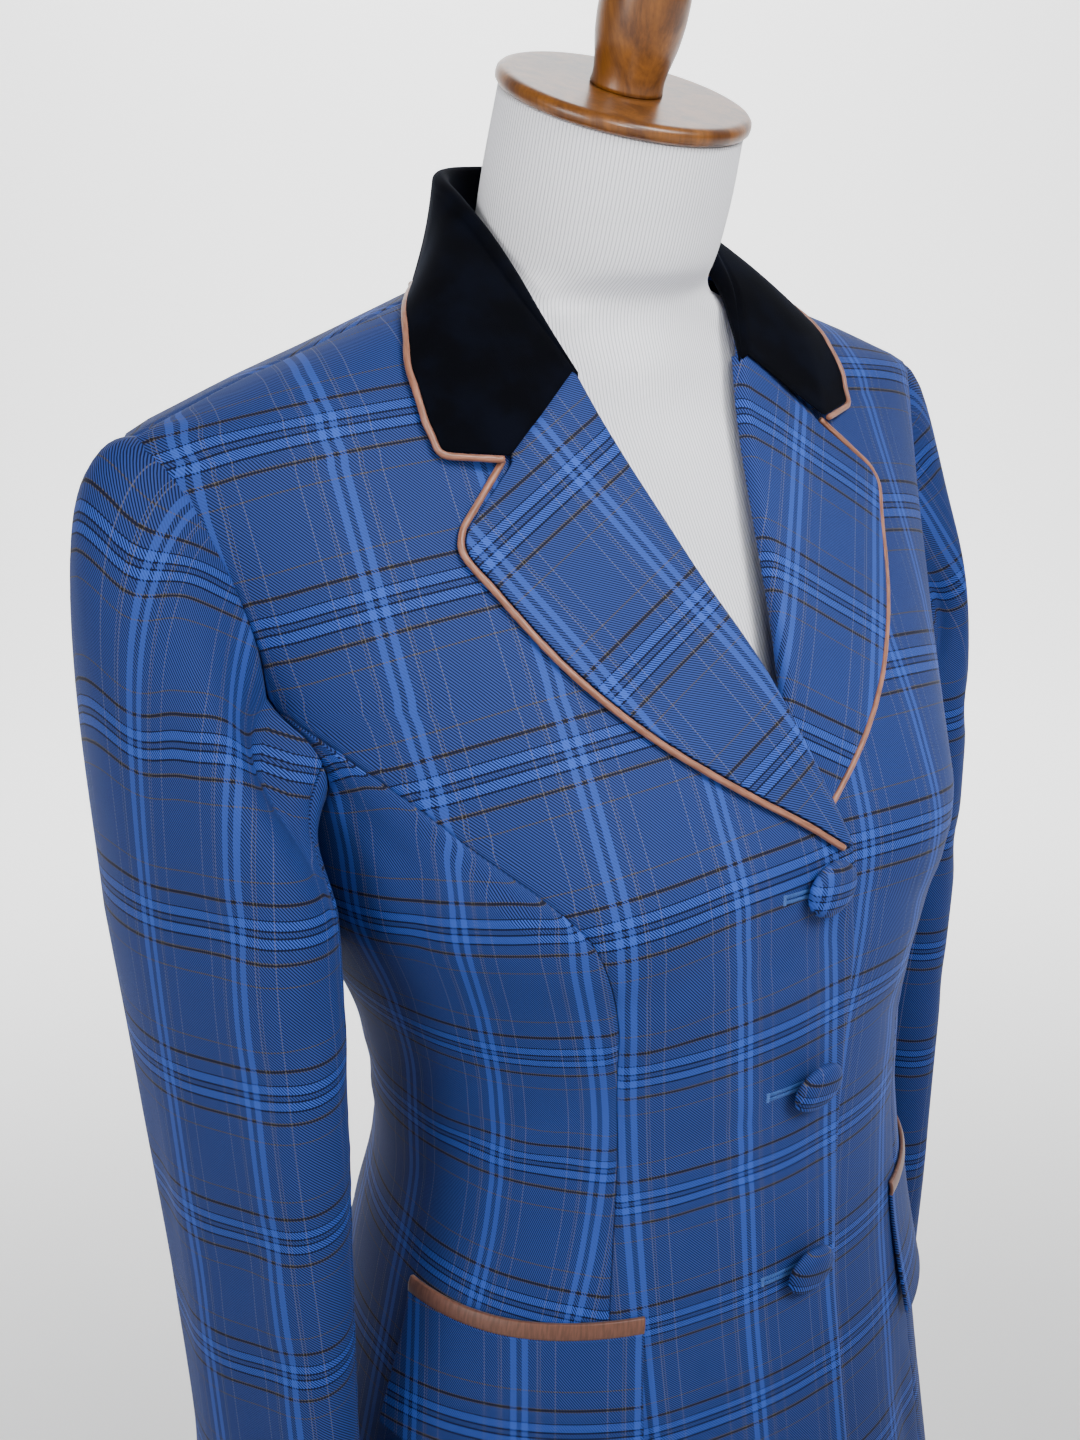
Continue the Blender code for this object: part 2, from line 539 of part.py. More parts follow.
def lapel_face(side, rows, below=0.0):
    """Points of the lapel's face, or of the face that lies below it by that much."""
    x, height, share, across = lapel_grid(side, rows)
    turns = turn_at(x, height)
    rise = LAPEL_REST + (LAPEL_RISE - LAPEL_REST) * ease((share - 0.2) / 0.3) * hump(across - 0.12, 0.30)
    off_skin = rise * ease(across / LAPEL_SHARES[1]) + 0.0004 * (across == 0)
    lift = front_lift(turns, height, side)
    return moved_out(turns, height, lift + off_skin - below)


def make_lapel(side):
    """A lapel, turned back from the front at the roll line, with its corded edge."""
    rows = 17
    outer, inner = lapel_face(side, rows), lapel_face(side, rows, WALL)
    wall("lapel_" + SIDE_NAMES[side], to_side(outer, side), to_side(inner, side), "checked worsted")
    x, height, _, _ = lapel_grid(side, rows)
    top_x = np.array([x[-1, -1] + (NOTCH_X + 0.004 - x[-1, -1]) * t for t in (0.3, 0.65, 1.0)])
    top_height = np.interp(top_x, [NOTCH_X, x[-1, -1]], [NOTCH_HEIGHT, height[-1, -1]])
    edge_x, edge_height = np.concatenate([x[:, -1], top_x]), np.concatenate([height[:, -1], top_height])
    turns = turn_at(edge_x, edge_height)
    off_skin = front_lift(turns, edge_height, side) + LAPEL_REST - WALL / 2
    cord("lapel_piping_" + SIDE_NAMES[side], to_side(beside(turns, edge_height, off_skin, 1.0), side))


def beside(turns, heights, off_skin, way):
    """A line along an edge that lies on the skin, moved off the skin and away from the piece it edges."""
    points = moved_out(turns, heights, off_skin)
    along = np.gradient(points, axis=0)
    away = way * np.cross(along, skin_normal(turns, heights))
    away /= np.linalg.norm(away, axis=1, keepdims=True)
    return points + away * (PIPING + 2 * SEAM_GAP)


def cord(name, path, sides=8):
    """A round cord along the path."""
    along = np.gradient(path, axis=0)
    along /= np.linalg.norm(along, axis=1, keepdims=True)
    lead = np.cross(along, [0.0, 0.0, 1.0])
    lead /= np.linalg.norm(lead, axis=1, keepdims=True)
    other = np.cross(along, lead)
    angles = np.linspace(0.0, 2 * np.pi, sides, endpoint=False)
    rings = path[:, None] + PIPING * (np.cos(angles)[None, :, None] * lead[:, None]
                                      + np.sin(angles)[None, :, None] * other[:, None])
    return tube(name, rings, "copper satin piping")


def tube(name, rings, finish):
    """A closed body through rings of points, capped flat at both ends."""
    maker = bmesh.new()
    loops = [[maker.verts.new(p) for p in ring] for ring in rings]
    count = len(loops[0])
    for low, high in zip(loops, loops[1:]):
        for k in range(count):
            maker.faces.new((low[k], low[(k + 1) % count], high[(k + 1) % count], high[k]))
    maker.faces.new(loops[0])
    maker.faces.new(loops[-1])
    return finish_object(name, maker, finish)


def turned(profile, segments, foot, axis):
    """Rings of a turned shape: radius and height pairs, standing on foot along axis."""
    axis = np.asarray(axis, float) / np.linalg.norm(axis)
    lead = np.cross(axis, [1.0, 0.0, 0.0])
    lead /= np.linalg.norm(lead)
    other = np.cross(axis, lead)
    angles = np.linspace(0.0, 2 * np.pi, segments, endpoint=False)
    circle = np.cos(angles)[:, None] * lead + np.sin(angles)[:, None] * other
    return [np.asarray(foot) + axis * high + circle * radius for radius, high in profile]


def collar_face(steps):
    """Half of the collar's outer face, from the gorge to the centre back, on the left side.

    Its columns run from the foot of the stand, up the inside, over the fold and down to the edge."""
    share = np.linspace(0.0, 1.0, steps)
    fold = np.stack([COLLAR[k](share) for k in ("fold_x", "fold_y", "fold_height")], -1)
    edge = moved_out(COLLAR["edge_turn"](share), COLLAR["edge_height"](share), np.full(steps, COLLAR_REST))
    out = fold * [1.0, 1.0, 0.0] - [0.0, -0.022, 0.0]
    out /= np.linalg.norm(out, axis=1, keepdims=True)
    over = skin_normal(COLLAR["edge_turn"](share), COLLAR["edge_height"](share))
    up = np.array([0.0, 0.0, 1.0])
    stand, bulge = COLLAR["stand"](share)[:, None], COLLAR["bulge"](share)[:, None]
    inside = fold - out * FOLD_RADIUS
    columns = [inside - up * stand, inside - up * (0.45 * stand + 0.55 * FOLD_RADIUS), inside - up * FOLD_RADIUS,
               fold - out * 0.7 * FOLD_RADIUS - up * 0.3 * FOLD_RADIUS, fold,
               fold + out * 0.7 * FOLD_RADIUS - up * 0.3 * FOLD_RADIUS]
    top = fold + out * FOLD_RADIUS - up * FOLD_RADIUS
    falls = np.array([0.0, 0.25, NOTCH_SHARE * 0.8, NOTCH_SHARE, 0.82, 1.0])
    gorge_x = np.array([COLLAR["fold_x"](0.0), NOTCH_X])
    gorge_height = np.array([COLLAR["fold_height"](0.0), NOTCH_HEIGHT])
    for fall in falls:
        straight = top + (edge - top) * fall + over * bulge * np.sin(np.pi * fall)
        if fall <= NOTCH_SHARE:
            x, height = (np.interp(fall, [0.0, NOTCH_SHARE], pair) for pair in (gorge_x, gorge_height))
        else:
            past = (fall - NOTCH_SHARE) / (1 - NOTCH_SHARE)
            x = NOTCH_X + (edge[0, 0] - NOTCH_X) * past
            height = NOTCH_HEIGHT + (edge[0, 2] - NOTCH_HEIGHT) * past
        seat = LAPEL_RISE + (fold[0, 1] * -1 - 0.047) * (1 - min(1.0, fall / 0.4))
        end = moved_out(turn_at(x, height + 0.0018), height + 0.0018, seat)
        fade = (1 - ease(share / 0.30))[:, None] * (fall < 1)
        columns.append(straight + (end - straight[0]) * fade)
    return np.stack(columns, 1)


def make_collar():
    """The velvet collar, stand and fall in one, and the piping round its edge."""
    half = collar_face(COLLAR_STEPS)
    grid = np.concatenate([to_side(half, -1), half[::-1][1:]])
    normals = grid_normals(grid)
    inner = grid + normals * COLLAR_WALL
    wall("collar", grid, inner, "black velvet")
    share = np.linspace(0.0, 1.0, COLLAR_STEPS)
    turns, heights = COLLAR["edge_turn"](share), COLLAR["edge_height"](share)
    corner_x = float(coat_skin(turns[0], heights[0])[0])
    end_x = np.linspace(NOTCH_X + 0.004, corner_x, 4)[:-1]
    end_height = np.interp(end_x, [NOTCH_X, corner_x], [NOTCH_HEIGHT + 0.0018, heights[0]])
    turns = np.concatenate([turn_at(end_x, end_height), turns])
    heights = np.concatenate([end_height, heights])
    half_edge = beside(turns, heights, np.full(len(turns), PIPING + CLEAR), 1.0)
    cord("collar_piping", np.concatenate([to_side(half_edge, -1), half_edge[::-1][1:]]))


def make_pocket(side):
    """A hip pocket: a satin welt and, under it, a flap that stands off a little at the bottom."""
    share = np.linspace(0.0, 1.0, 9)
    turns, line = POCKET["turn"](share), POCKET["height"](share)

    def band(top, bottom, rows, wall_size, flare):
        down = np.linspace(0.0, 1.0, rows)[:, None]
        height = line[None, :] - top - (bottom - top) * down
        turn = np.broadcast_to(turns, height.shape)
        outer = CLEAR + wall_size + flare * down ** 1.6 * (0.6 + 0.4 * share[None, :])
        outer = np.broadcast_to(outer, height.shape)
        return moved_out(turn, height, outer), moved_out(turn, height, outer - wall_size)

    outer, inner = band(0.0, WELT_TALL, 2, WELT_WALL, 0.0)
    wall("pocket_welt_" + SIDE_NAMES[side], to_side(outer, side), to_side(inner, side), "copper satin piping")
    outer, inner = band(WELT_TALL + SEAM_GAP, WELT_TALL + FLAP_TALL, 6, WALL, FLAP_FLARE)
    wall("pocket_flap_" + SIDE_NAMES[side], to_side(outer, side), to_side(inner, side), "checked worsted")


def front_seat(height):
    """A point on the right front at the centre line, on its flat facets, and the way out from it there."""
    rows = lower_heights()
    above = int(np.searchsorted(rows, height))
    low, high = (moved_out(0.0, h, front_lift(0.0, h, -1)) for h in rows[above - 1:above + 1])
    share = (height - low[2]) / (high[2] - low[2])
    out = np.cross([1.0, 0.0, 0.0], high - low)
    return low + (high - low) * share, out / np.linalg.norm(out)


def make_buttons():
    """Domed buttons covered with the coat's cloth, down the centre front."""
    for number, (height, droop) in enumerate(zip(BUTTON_HEIGHTS, BUTTON_DROOP), 1):
        seat, out = front_seat(height)
        tip = math.radians(droop)
        axis = out * math.cos(tip) - np.array([0.0, 0.0, math.sin(tip)])
        foot = seat + out * (CLEAR + BUTTON_PROFILE[0][0] * math.sin(tip))
        tube(f"button_{number}", turned(BUTTON_PROFILE, BUTTON_SEGMENTS, foot, axis), "checked worsted")


def make_form():
    """The limbless form the coat rests on, its cap and finial, and the stand."""
    angles = np.linspace(0.0, 2 * np.pi, FORM_SEGMENTS, endpoint=False)
    rings = []
    for height in sorted({row[0] for row in FORM_SECTIONS} | {0.272, 0.365, 0.823, 0.838, 0.853, 0.872, 0.897}):
        size = {name: float(at(height)) for name, at in FORM.items()}
        depth = np.where(np.cos(angles) >= 0, size["front"] + size["centre_y"], size["back"] - size["centre_y"])
        back_and_forth = -depth * np.cos(angles)
        throat = hump(size["half_width"] * np.sin(angles), THROAT_WIDE) * hump(height - THROAT_HEIGHT, THROAT_TALL)
        back_and_forth -= THROAT_RISE * throat * (np.cos(angles) > 0)
        tilt = math.radians(size["tilt"])
        rings.append(np.stack([size["half_width"] * np.sin(angles),
                               size["centre_y"] + back_and_forth * math.cos(tilt),
                               height + back_and_forth * math.sin(tilt)], -1))
    tube("form_torso", rings, "white ticking cover")
    tilt = math.radians(CAP_TILT)
    axis = np.array([0.0, -math.sin(tilt), math.cos(tilt)])
    top = np.array([0.0, CAP_CENTRE_Y, CAP_HEIGHT])
    tube("neck_cap", turned(CAP_PROFILE, FORM_SEGMENTS, top - axis * CAP_THICK, axis), "stained wood")
    tube("finial", turned(FINIAL_PROFILE, 24, top + axis * SEAM_GAP, axis), "stained wood")
    base_top, form_foot = BASE_PROFILE[-1][1], FORM_SECTIONS[0][0]
    pole = ((POLE_RADIUS, base_top + SEAM_GAP), (POLE_RADIUS, form_foot - SEAM_GAP))
    tube("pole", turned(pole, 24, (0.0, 0.0, 0.0), (0.0, 0.0, 1.0)), "stained wood")
    tube("base", turned(BASE_PROFILE, BASE_SEGMENTS, (0.0, 0.0, 0.0), (0.0, 0.0, 1.0)), "stained wood")


def clear_scene():
    for thing in list(bpy.data.objects):
        bpy.data.objects.remove(thing)


def main():
    clear_scene()
    for side in SIDE_NAMES:
        make_front(side)
        make_side(side)
        make_back(side)
        make_sleeve(side)
        make_lapel(side)
        make_pocket(side)
    make_collar()
    make_buttons()
    make_form()


main()
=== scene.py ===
"""The looks of a riding show coat on a dress form.

Each cloth piece is a thin shell on the form of its solid, cut finer, with its seams and creases.
"""

import math

import bmesh
import bpy
import numpy as np
from mathutils import Matrix


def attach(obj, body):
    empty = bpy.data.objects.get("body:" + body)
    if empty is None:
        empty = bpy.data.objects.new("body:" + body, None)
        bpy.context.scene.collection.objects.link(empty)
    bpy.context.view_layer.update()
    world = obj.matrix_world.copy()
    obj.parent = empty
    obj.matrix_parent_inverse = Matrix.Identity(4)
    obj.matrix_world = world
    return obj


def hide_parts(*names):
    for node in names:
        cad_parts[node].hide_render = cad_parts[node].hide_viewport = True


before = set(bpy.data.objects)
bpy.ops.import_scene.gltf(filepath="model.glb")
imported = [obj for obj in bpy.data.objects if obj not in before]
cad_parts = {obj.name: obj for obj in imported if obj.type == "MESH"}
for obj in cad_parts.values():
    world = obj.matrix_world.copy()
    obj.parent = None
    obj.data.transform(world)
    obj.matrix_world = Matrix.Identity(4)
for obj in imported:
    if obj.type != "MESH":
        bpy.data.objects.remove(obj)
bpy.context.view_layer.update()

SIDE_NAMES = {1: "left", -1: "right"}  # the coat's own left is at +X
ACROSS, UP = np.array([1.0, 0.0, 0.0]), np.array([0.0, 0.0, 1.0])

# Sizes of the coat, in metres, most of them as its solids have them
WALL = 0.0020
COLLAR_WALL = 0.0024
SEAM_GAP = 0.0003
CLEAR = 0.0004
HEM, ARMPIT, JOIN, BREAK, TIP, NECK_POINT = 0.200, 0.665, 0.712, 0.637, 0.803, 0.850
OVERLAP, ROLL_SLOPE, FOLD_ROOM = 0.015, 0.312, 0.0034
LAP_LIFT, LAPEL_LAP_LIFT, LAP_SPREAD = 0.0029, 0.0068, 0.055
LAPEL_LAP_SPAN = (0.600, 0.035, 0.745, 0.045)  # from where and to where it lifts more, each with its easing
LAP_MORE = 0.0065       # how much further the right front laps below its lapel
FOLD_EASE, LAP_BELOW, LAP_EASE = 0.008, 0.004, 0.040
# The right front's edge over the left: how far it lifts, rounds off and folds in, and over what widths
EDGE_LIFT, EDGE_ROUND, EDGE_FOLD = 0.0012, 0.0018, 0.0010
EDGE_LIFT_WIDE, EDGE_ROUND_WIDE, EDGE_FOLD_WIDE = 0.010, 0.0015, 0.0014
EDGE_BELOW, EDGE_EASE = 0.006, 0.020    # how far below the break this starts, and over what height

# The coat's skin, level by level
COAT_COLUMNS = ("height", "half_width", "front", "back", "centre_y", "power")
COAT_SECTIONS = (
    (0.200, 0.1620, 0.1520, 0.1600, 0.0000, 2.10),
    (0.260, 0.1560, 0.1450, 0.1500, -0.0020, 2.10),
    (0.330, 0.1500, 0.1370, 0.1350, -0.0080, 2.10),
    (0.400, 0.1410, 0.1290, 0.1160, -0.0180, 2.15),
    (0.450, 0.1330, 0.1250, 0.0980, -0.0260, 2.15),
    (0.505, 0.1240, 0.1260, 0.0790, -0.0290, 2.15),
    (0.550, 0.1255, 0.1290, 0.0770, -0.0260, 2.20),
    (0.590, 0.1365, 0.1320, 0.0850, -0.0200, 2.25),
    (0.628, 0.1540, 0.1330, 0.1010, -0.0140, 2.30),
    (0.665, 0.1620, 0.1240, 0.1060, -0.0080, 2.30),
    (0.712, 0.1760, 0.1040, 0.1080, -0.0020, 2.25),
    (0.756, 0.1880, 0.0800, 0.1020, 0.0020, 2.20),
    (0.787, 0.1955, 0.0630, 0.0905, 0.0030, 2.10),
    (0.803, 0.1980, 0.0555, 0.0820, 0.0030, 2.00),
    (0.819, 0.1640, 0.0495, 0.0735, 0.0030, 2.00),
    (0.834, 0.1200, 0.0445, 0.0640, 0.0020, 2.00),
    (0.852, 0.0680, 0.0400, 0.0500, 0.0010, 2.00),
)
BUST_RISE, BUST_X, BUST_HEIGHT, BUST_WIDE, BUST_TALL = 0.010, 0.088, 0.626, 0.050, 0.058
SKIRT_FOLDS = ((48.0, 0.005, 16.0), (96.0, 0.008, 14.0), (138.0, 0.007, 13.0))  # turn, depth, width
FOLD_TOP, RIPPLE_WIDE, RIPPLE_DEEP = 0.430, 0.18, 0.15
NEAR_TURN, NEAR_HEIGHT = 0.6, 0.0015    # how far off the skin is sampled for its normals

# Seams and edges as distances from the centre line, level by level
BUST_SEAM = ((0.200, 0.102), (0.340, 0.094), (0.450, 0.085), (0.520, 0.080), (0.580, 0.084),
             (0.622, 0.096), (0.665, 0.130), (0.712, 0.171))
BACK_SEAM = ((0.200, 0.105), (0.340, 0.096), (0.450, 0.078), (0.520, 0.078), (0.600, 0.100),
             (0.665, 0.136), (0.712, 0.168))
FRONT_ARMHOLE = ((0.712, 0.171), (0.736, 0.174), (0.760, 0.180), (0.784, 0.188), (0.803, 0.198))
BACK_ARMHOLE = ((0.712, 0.168), (0.736, 0.173), (0.760, 0.179), (0.784, 0.188), (0.803, 0.198))

# Lapel, collar and piping
LAPEL_COLUMNS = ("share", "x", "height")
LAPEL_EDGE = (
    (0.00, -0.0095, 0.6405), (0.12, 0.0100, 0.6540), (0.28, 0.0390, 0.6760), (0.45, 0.0640, 0.6980),
    (0.62, 0.0840, 0.7220), (0.80, 0.0990, 0.7480), (0.92, 0.1060, 0.7620), (1.00, 0.1035, 0.7680),
)
GORGE_TOP, LEFT_LAPEL_START = 0.8185, 0.05
LAPEL_RISE, LAPEL_REST, LAPEL_ROUND, PIPING = 0.0050, 0.0030, 0.0042, 0.0013
UNDER_REACHES = (0.0008, 0.0020, 0.0040, 0.0070)   # rows of a lapel that go on under the collar
COLLAR_COLUMNS = ("share", "fold_x", "fold_y", "fold_height", "edge_turn", "edge_height", "stand", "bulge")
COLLAR_SECTIONS = (
    (0.00, 0.0421, -0.0526, 0.8190, 31.2, 0.7935, 0.002, 0.0042),
    (0.08, 0.0472, -0.0436, 0.8345, 32.5, 0.8056, 0.004, 0.0042),
    (0.16, 0.0515, -0.0340, 0.8500, 38.2, 0.8170, 0.006, 0.0040),
    (0.32, 0.0545, -0.0080, 0.8770, 58.5, 0.8364, 0.011, 0.0010),
    (0.46, 0.0520, 0.0120, 0.8890, 86.0, 0.8475, 0.024, -0.0020),
    (0.62, 0.0430, 0.0300, 0.8955, 119.0, 0.8530, 0.036, -0.0010),
    (0.80, 0.0240, 0.0425, 0.8980, 151.0, 0.8535, 0.044, 0.0),
    (1.00, 0.0000, 0.0465, 0.8985, 180.0, 0.8530, 0.046, 0.0),
)
NOTCH_X, NOTCH_HEIGHT, NOTCH_SHARE = 0.0805, 0.7888, 0.62
FOLD_RADIUS, COLLAR_REST, COLLAR_SEAT = 0.0034, 0.0030, 0.0012

# Sleeves
BICEPS, CUFF = 0.630, 0.257
SLEEVE_COLUMNS = ("height", "centre_x", "centre_y", "half_across", "half_deep")
SLEEVE_RINGS = (
    (0.630, 0.1855, -0.0050, 0.0370, 0.0650),
    (0.560, 0.1850, -0.0060, 0.0340, 0.0610),
    (0.500, 0.1850, -0.0060, 0.0315, 0.0560),
    (0.400, 0.1850, -0.0050, 0.0285, 0.0500),
    (0.330, 0.1880, 0.0010, 0.0270, 0.0480),
    (0.257, 0.1950, 0.0120, 0.0260, 0.0470),
)
SLEEVE_CLEAR, SLEEVE_SOFT, CAP_RISE = 0.0022, 0.0050, 0.040
TUCK = 0.0012           # how far the sleeve head starts under the armhole's edge
HEAD_IN, HEAD_WIDE, HEAD_SINK = 0.0045, 40.0, 0.0009   # the sleeve head at the shoulder tip
SLEEVE_SHIFT = {1: (-0.006, 0.011), -1: (0.0, 0.0)}
CREASE_DEPTH, CREASE_TURN, CREASE_WIDE = 0.0045, 48.0, 26.0
TOP_SLEEVE = (-38.0, 200.0)
SLEEVE_SEAM_TURN = 0.40

# Pockets and buttons
POCKET_COLUMNS = ("share", "turn", "height")
POCKET_LINE = ((0.0, 31.5, 0.4565), (0.5, 56.0, 0.4575), (1.0, 86.0, 0.4615))
WELT_TALL, WELT_WALL, FLAP_TALL, FLAP_FLARE = 0.0068, 0.0022, 0.0617, 0.0045
BUTTON_HEIGHTS, BUTTON_DROOP = (0.628, 0.5425, 0.457), (6.0, 16.0, 14.0)
BUTTON_PROFILE = ((0.0036, 0.0000), (0.0038, 0.0012), (0.0088, 0.0017), (0.0112, 0.0024), (0.0119, 0.0036),
                  (0.0118, 0.0046), (0.0110, 0.0060), (0.0093, 0.0071), (0.0068, 0.0079), (0.0038, 0.0083))
BUTTON_TALL, BUTTON_SEGMENTS = 0.00845, 72
FRONT_ROWS_LOW, FRONT_ROWS_CHEST = 12, 3   # the solid's rows, on whose facets the buttons sit
HOLE_LONG, HOLE_SLIT = 0.0205, 0.0011
STITCH_LENGTH, THREAD_RADIUS, STITCH_PITCH, STITCH_OFF = 0.0019, 0.00027, 0.00042, 0.00012

# Dress form and stand
FORM_COLUMNS = ("height", "half_width", "front", "back", "centre_y", "tilt")
FORM_SECTIONS = (
    (0.245, 0.132, 0.112, 0.112, -0.002, 0.0),
    (0.300, 0.138, 0.118, 0.118, -0.005, 0.0),
    (0.330, 0.137, 0.118, 0.114, -0.008, 0.0),
    (0.400, 0.126, 0.112, 0.095, -0.018, 0.0),
    (0.450, 0.117, 0.108, 0.079, -0.026, 0.0),
    (0.505, 0.111, 0.107, 0.067, -0.029, 0.0),
    (0.550, 0.117, 0.110, 0.071, -0.026, 0.0),
    (0.590, 0.129, 0.114, 0.080, -0.020, 0.0),
    (0.628, 0.140, 0.116, 0.088, -0.014, 0.0),
    (0.665, 0.147, 0.109, 0.093, -0.008, 0.0),
    (0.712, 0.153, 0.092, 0.095, -0.002, 0.0),
    (0.756, 0.160, 0.071, 0.090, 0.002, 0.0),
    (0.785, 0.165, 0.057, 0.080, 0.003, 0.0),
    (0.800, 0.163, 0.0490, 0.0720, 0.003, 0.0),
    (0.815, 0.1500, 0.0435, 0.0640, 0.003, 0.0),
    (0.8314, 0.1185, 0.0385, 0.0540, 0.002, 0.0),
    (0.846, 0.0605, 0.0440, 0.0420, -0.004, 3.0),
    (0.860, 0.0492, 0.0590, 0.0370, -0.011, 8.0),
    (0.884, 0.0498, 0.0690, 0.0270, -0.021, 16.0),
    (0.9143, 0.0480, 0.0800, 0.0155, -0.0324, 23.0),
)
THROAT_RISE, THROAT_WIDE, THROAT_HEIGHT, THROAT_TALL = 0.008, 0.028, 0.826, 0.022
CAP_CENTRE_Y, CAP_HEIGHT, CAP_TILT, CAP_THICK = -0.0350, 0.9205, 23.0, 0.0062
CAP_PROFILE = ((0.0470, 0.0000), (0.0488, 0.0004), (0.0496, 0.0014), (0.0498, 0.0026), (0.0497, 0.0040),
               (0.0491, 0.0051), (0.0479, 0.0059), (0.0465, 0.0062), (0.0300, 0.0062), (0.0140, 0.0062))
FINIAL_PROFILE = ((0.0142, 0.000), (0.0140, 0.0015), (0.0138, 0.004), (0.0142, 0.008), (0.0150, 0.012),
                  (0.0160, 0.017), (0.0166, 0.022), (0.0169, 0.027), (0.0168, 0.033), (0.0158, 0.040),
                  (0.0143, 0.0447), (0.0126, 0.048), (0.0103, 0.0512), (0.0078, 0.053), (0.0035, 0.055))
POLE_RADIUS, POLE_HEIGHTS = 0.0160, (0.0423, 0.10, 0.17, 0.2447)
RIB = 1.5               # millimetres from one rib of the cover to the next
BASE_PROFILE = ((0.1590, 0.0000), (0.1620, 0.0003), (0.1642, 0.0016), (0.1650, 0.0040), (0.1650, 0.0125),
                (0.1640, 0.0158), (0.1615, 0.0180), (0.1560, 0.0193), (0.1200, 0.0213), (0.0700, 0.0236),
                (0.0420, 0.0249), (0.0310, 0.0259), (0.0255, 0.0285), (0.0228, 0.0325), (0.0220, 0.0370),
                (0.0220, 0.0410), (0.0212, 0.0420))

# How finely the shells are cut
SHELL = 0.0013          # thickness of a cloth shell
FRONT_ROWS, BACK_ROWS, SIDE_ROWS = 150, 150, 118
PANEL_COLUMNS, CAP_ROWS, ARM_ROWS, FORM_SEGMENTS = 46, 34, 74, 144
TOP_COLUMNS, UNDER_COLUMNS, LAPEL_ROWS, COLLAR_ROWS = 70, 44, 96, 70
PIPING_SIDES, PIPING_STEP = 14, 0.0011
SIDE_WIDE, SIDE_TALL = 0.13, 0.48       # the side panel, about
HEAD_SHARES = (0.0, 0.005, 0.010, 0.018, 0.030)    # the first rows of a sleeve's cap
SLEEVE_EDGES = (0.0, 0.5, 1.3, 2.4, 4.0)           # degrees from a sleeve's seam
FOLD_SHARES = (0.0, 0.004, 0.011, 0.021, 0.034, 0.050, 0.070)  # the first columns beside a lapel's fold
FOLD_END_COLUMN = 19    # the collar's first column past its fold
SEAM_SPACING = (0.0, 0.0005, 0.0012, 0.0022, 0.0036, 0.0056)  # columns beside a seam, in metres from it
SEAM_DIP, SEAM_WIDE = 0.0006, 0.0013   # how far cloth sinks into a seam, and over what width
PUCKER, PUCKER_WIDE = 0.00022, 0.007
RIM_SHARE, RIM_MOST = 0.10, 0.00012    # how far a rim is rounded out: share of the thickness, and at most
ALLOWANCE, ALLOWANCE_WIDE = 0.0022, 0.0010  # the seam allowance, turned in behind a seam
# Where the grain runs straight up: a column, and heights or rows of its ends
GRAIN_COLUMN, FRONT_GRAIN, BACK_GRAIN, SIDE_GRAIN_ROWS = 4, (0.300, 0.600), (0.300, 0.700), (15, 80)
FLAT_ROWS, FLAT_COLUMNS = 92, 9       # the coarser grid that is laid flat

# Soft troughs pressed or pulled into the cloth: side, of which 0 is both, turn and height of the one end and of
# the other, depth and width
CREASES = (
    (-1, 8.0, 0.618, 44.0, 0.588, 0.0012, 0.0085),
    (-1, 6.0, 0.604, 30.0, 0.566, 0.0010, 0.0070),
    (-1, 5.0, 0.534, 33.0, 0.523, 0.0009, 0.0075),
    (-1, 6.0, 0.520, 26.0, 0.488, 0.0008, 0.0080),
    (-1, 37.0, 0.575, 52.0, 0.520, 0.0013, 0.0100),
    (-1, 52.0, 0.548, 84.0, 0.520, 0.0016, 0.0090),
    (-1, 56.0, 0.520, 92.0, 0.505, 0.0013, 0.0080),
    (-1, 60.0, 0.650, 76.0, 0.590, 0.0016, 0.0110),
    (-1, 70.0, 0.690, 62.0, 0.650, 0.0012, 0.0080),
    (1, 10.0, 0.612, 46.0, 0.584, 0.0012, 0.0090),
    (1, 14.0, 0.560, 48.0, 0.530, 0.0012, 0.0085),
    (1, 40.0, 0.575, 60.0, 0.520, 0.0014, 0.0100),
    (1, 56.0, 0.545, 88.0, 0.518, 0.0016, 0.0090),
    (1, 64.0, 0.655, 78.0, 0.594, 0.0014, 0.0110),
    (0, 104.0, 0.540, 150.0, 0.512, 0.0018, 0.0100),
    (0, 110.0, 0.512, 160.0, 0.500, 0.0015, 0.0085),
    (0, 128.0, 0.620, 158.0, 0.560, 0.0016, 0.0130),
    (0, 108.0, 0.690, 128.0, 0.640, 0.0016, 0.0110),
    (1, 118.0, 0.735, 150.0, 0.700, 0.0012, 0.0120),
    (-1, 120.0, 0.745, 146.0, 0.704, 0.0012, 0.0120),
    (0, 30.0, 0.360, 34.0, 0.215, 0.0022, 0.0140),
    (0, 70.0, 0.385, 74.0, 0.215, 0.0024, 0.0150),
    (0, 118.0, 0.400, 117.0, 0.215, 0.0026, 0.0150),
    (0, 158.0, 0.400, 160.0, 0.215, 0.0026, 0.0150),
)
CREASE_ARC = 0.0026     # metres round the coat to one degree
SLEEVE_CREASES = (
    (-1, 8.0, 0.655, 60.0, 0.628, 0.0022, 0.0120),
    (-1, 350.0, 0.610, 30.0, 0.575, 0.0020, 0.0110),
    (-1, 20.0, 0.520, 76.0, 0.488, 0.0016, 0.0120),
    (-1, 0.0, 0.470, 52.0, 0.447, 0.0016, 0.0110),
    (-1, 96.0, 0.560, 118.0, 0.400, 0.0020, 0.0120),
    (-1, 140.0, 0.470, 186.0, 0.505, 0.0024, 0.0110),
    (-1, 250.0, 0.590, 310.0, 0.560, 0.0020, 0.0110),
    (1, 10.0, 0.650, 62.0, 0.622, 0.0020, 0.0120),
    (1, 0.0, 0.585, 40.0, 0.555, 0.0018, 0.0110),
    (1, 16.0, 0.500, 70.0, 0.474, 0.0018, 0.0120),
    (1, 100.0, 0.555, 122.0, 0.410, 0.0020, 0.0120),
    (1, 138.0, 0.465, 184.0, 0.500, 0.0024, 0.0110),
    (1, 250.0, 0.580, 310.0, 0.550, 0.0020, 0.0110),
)
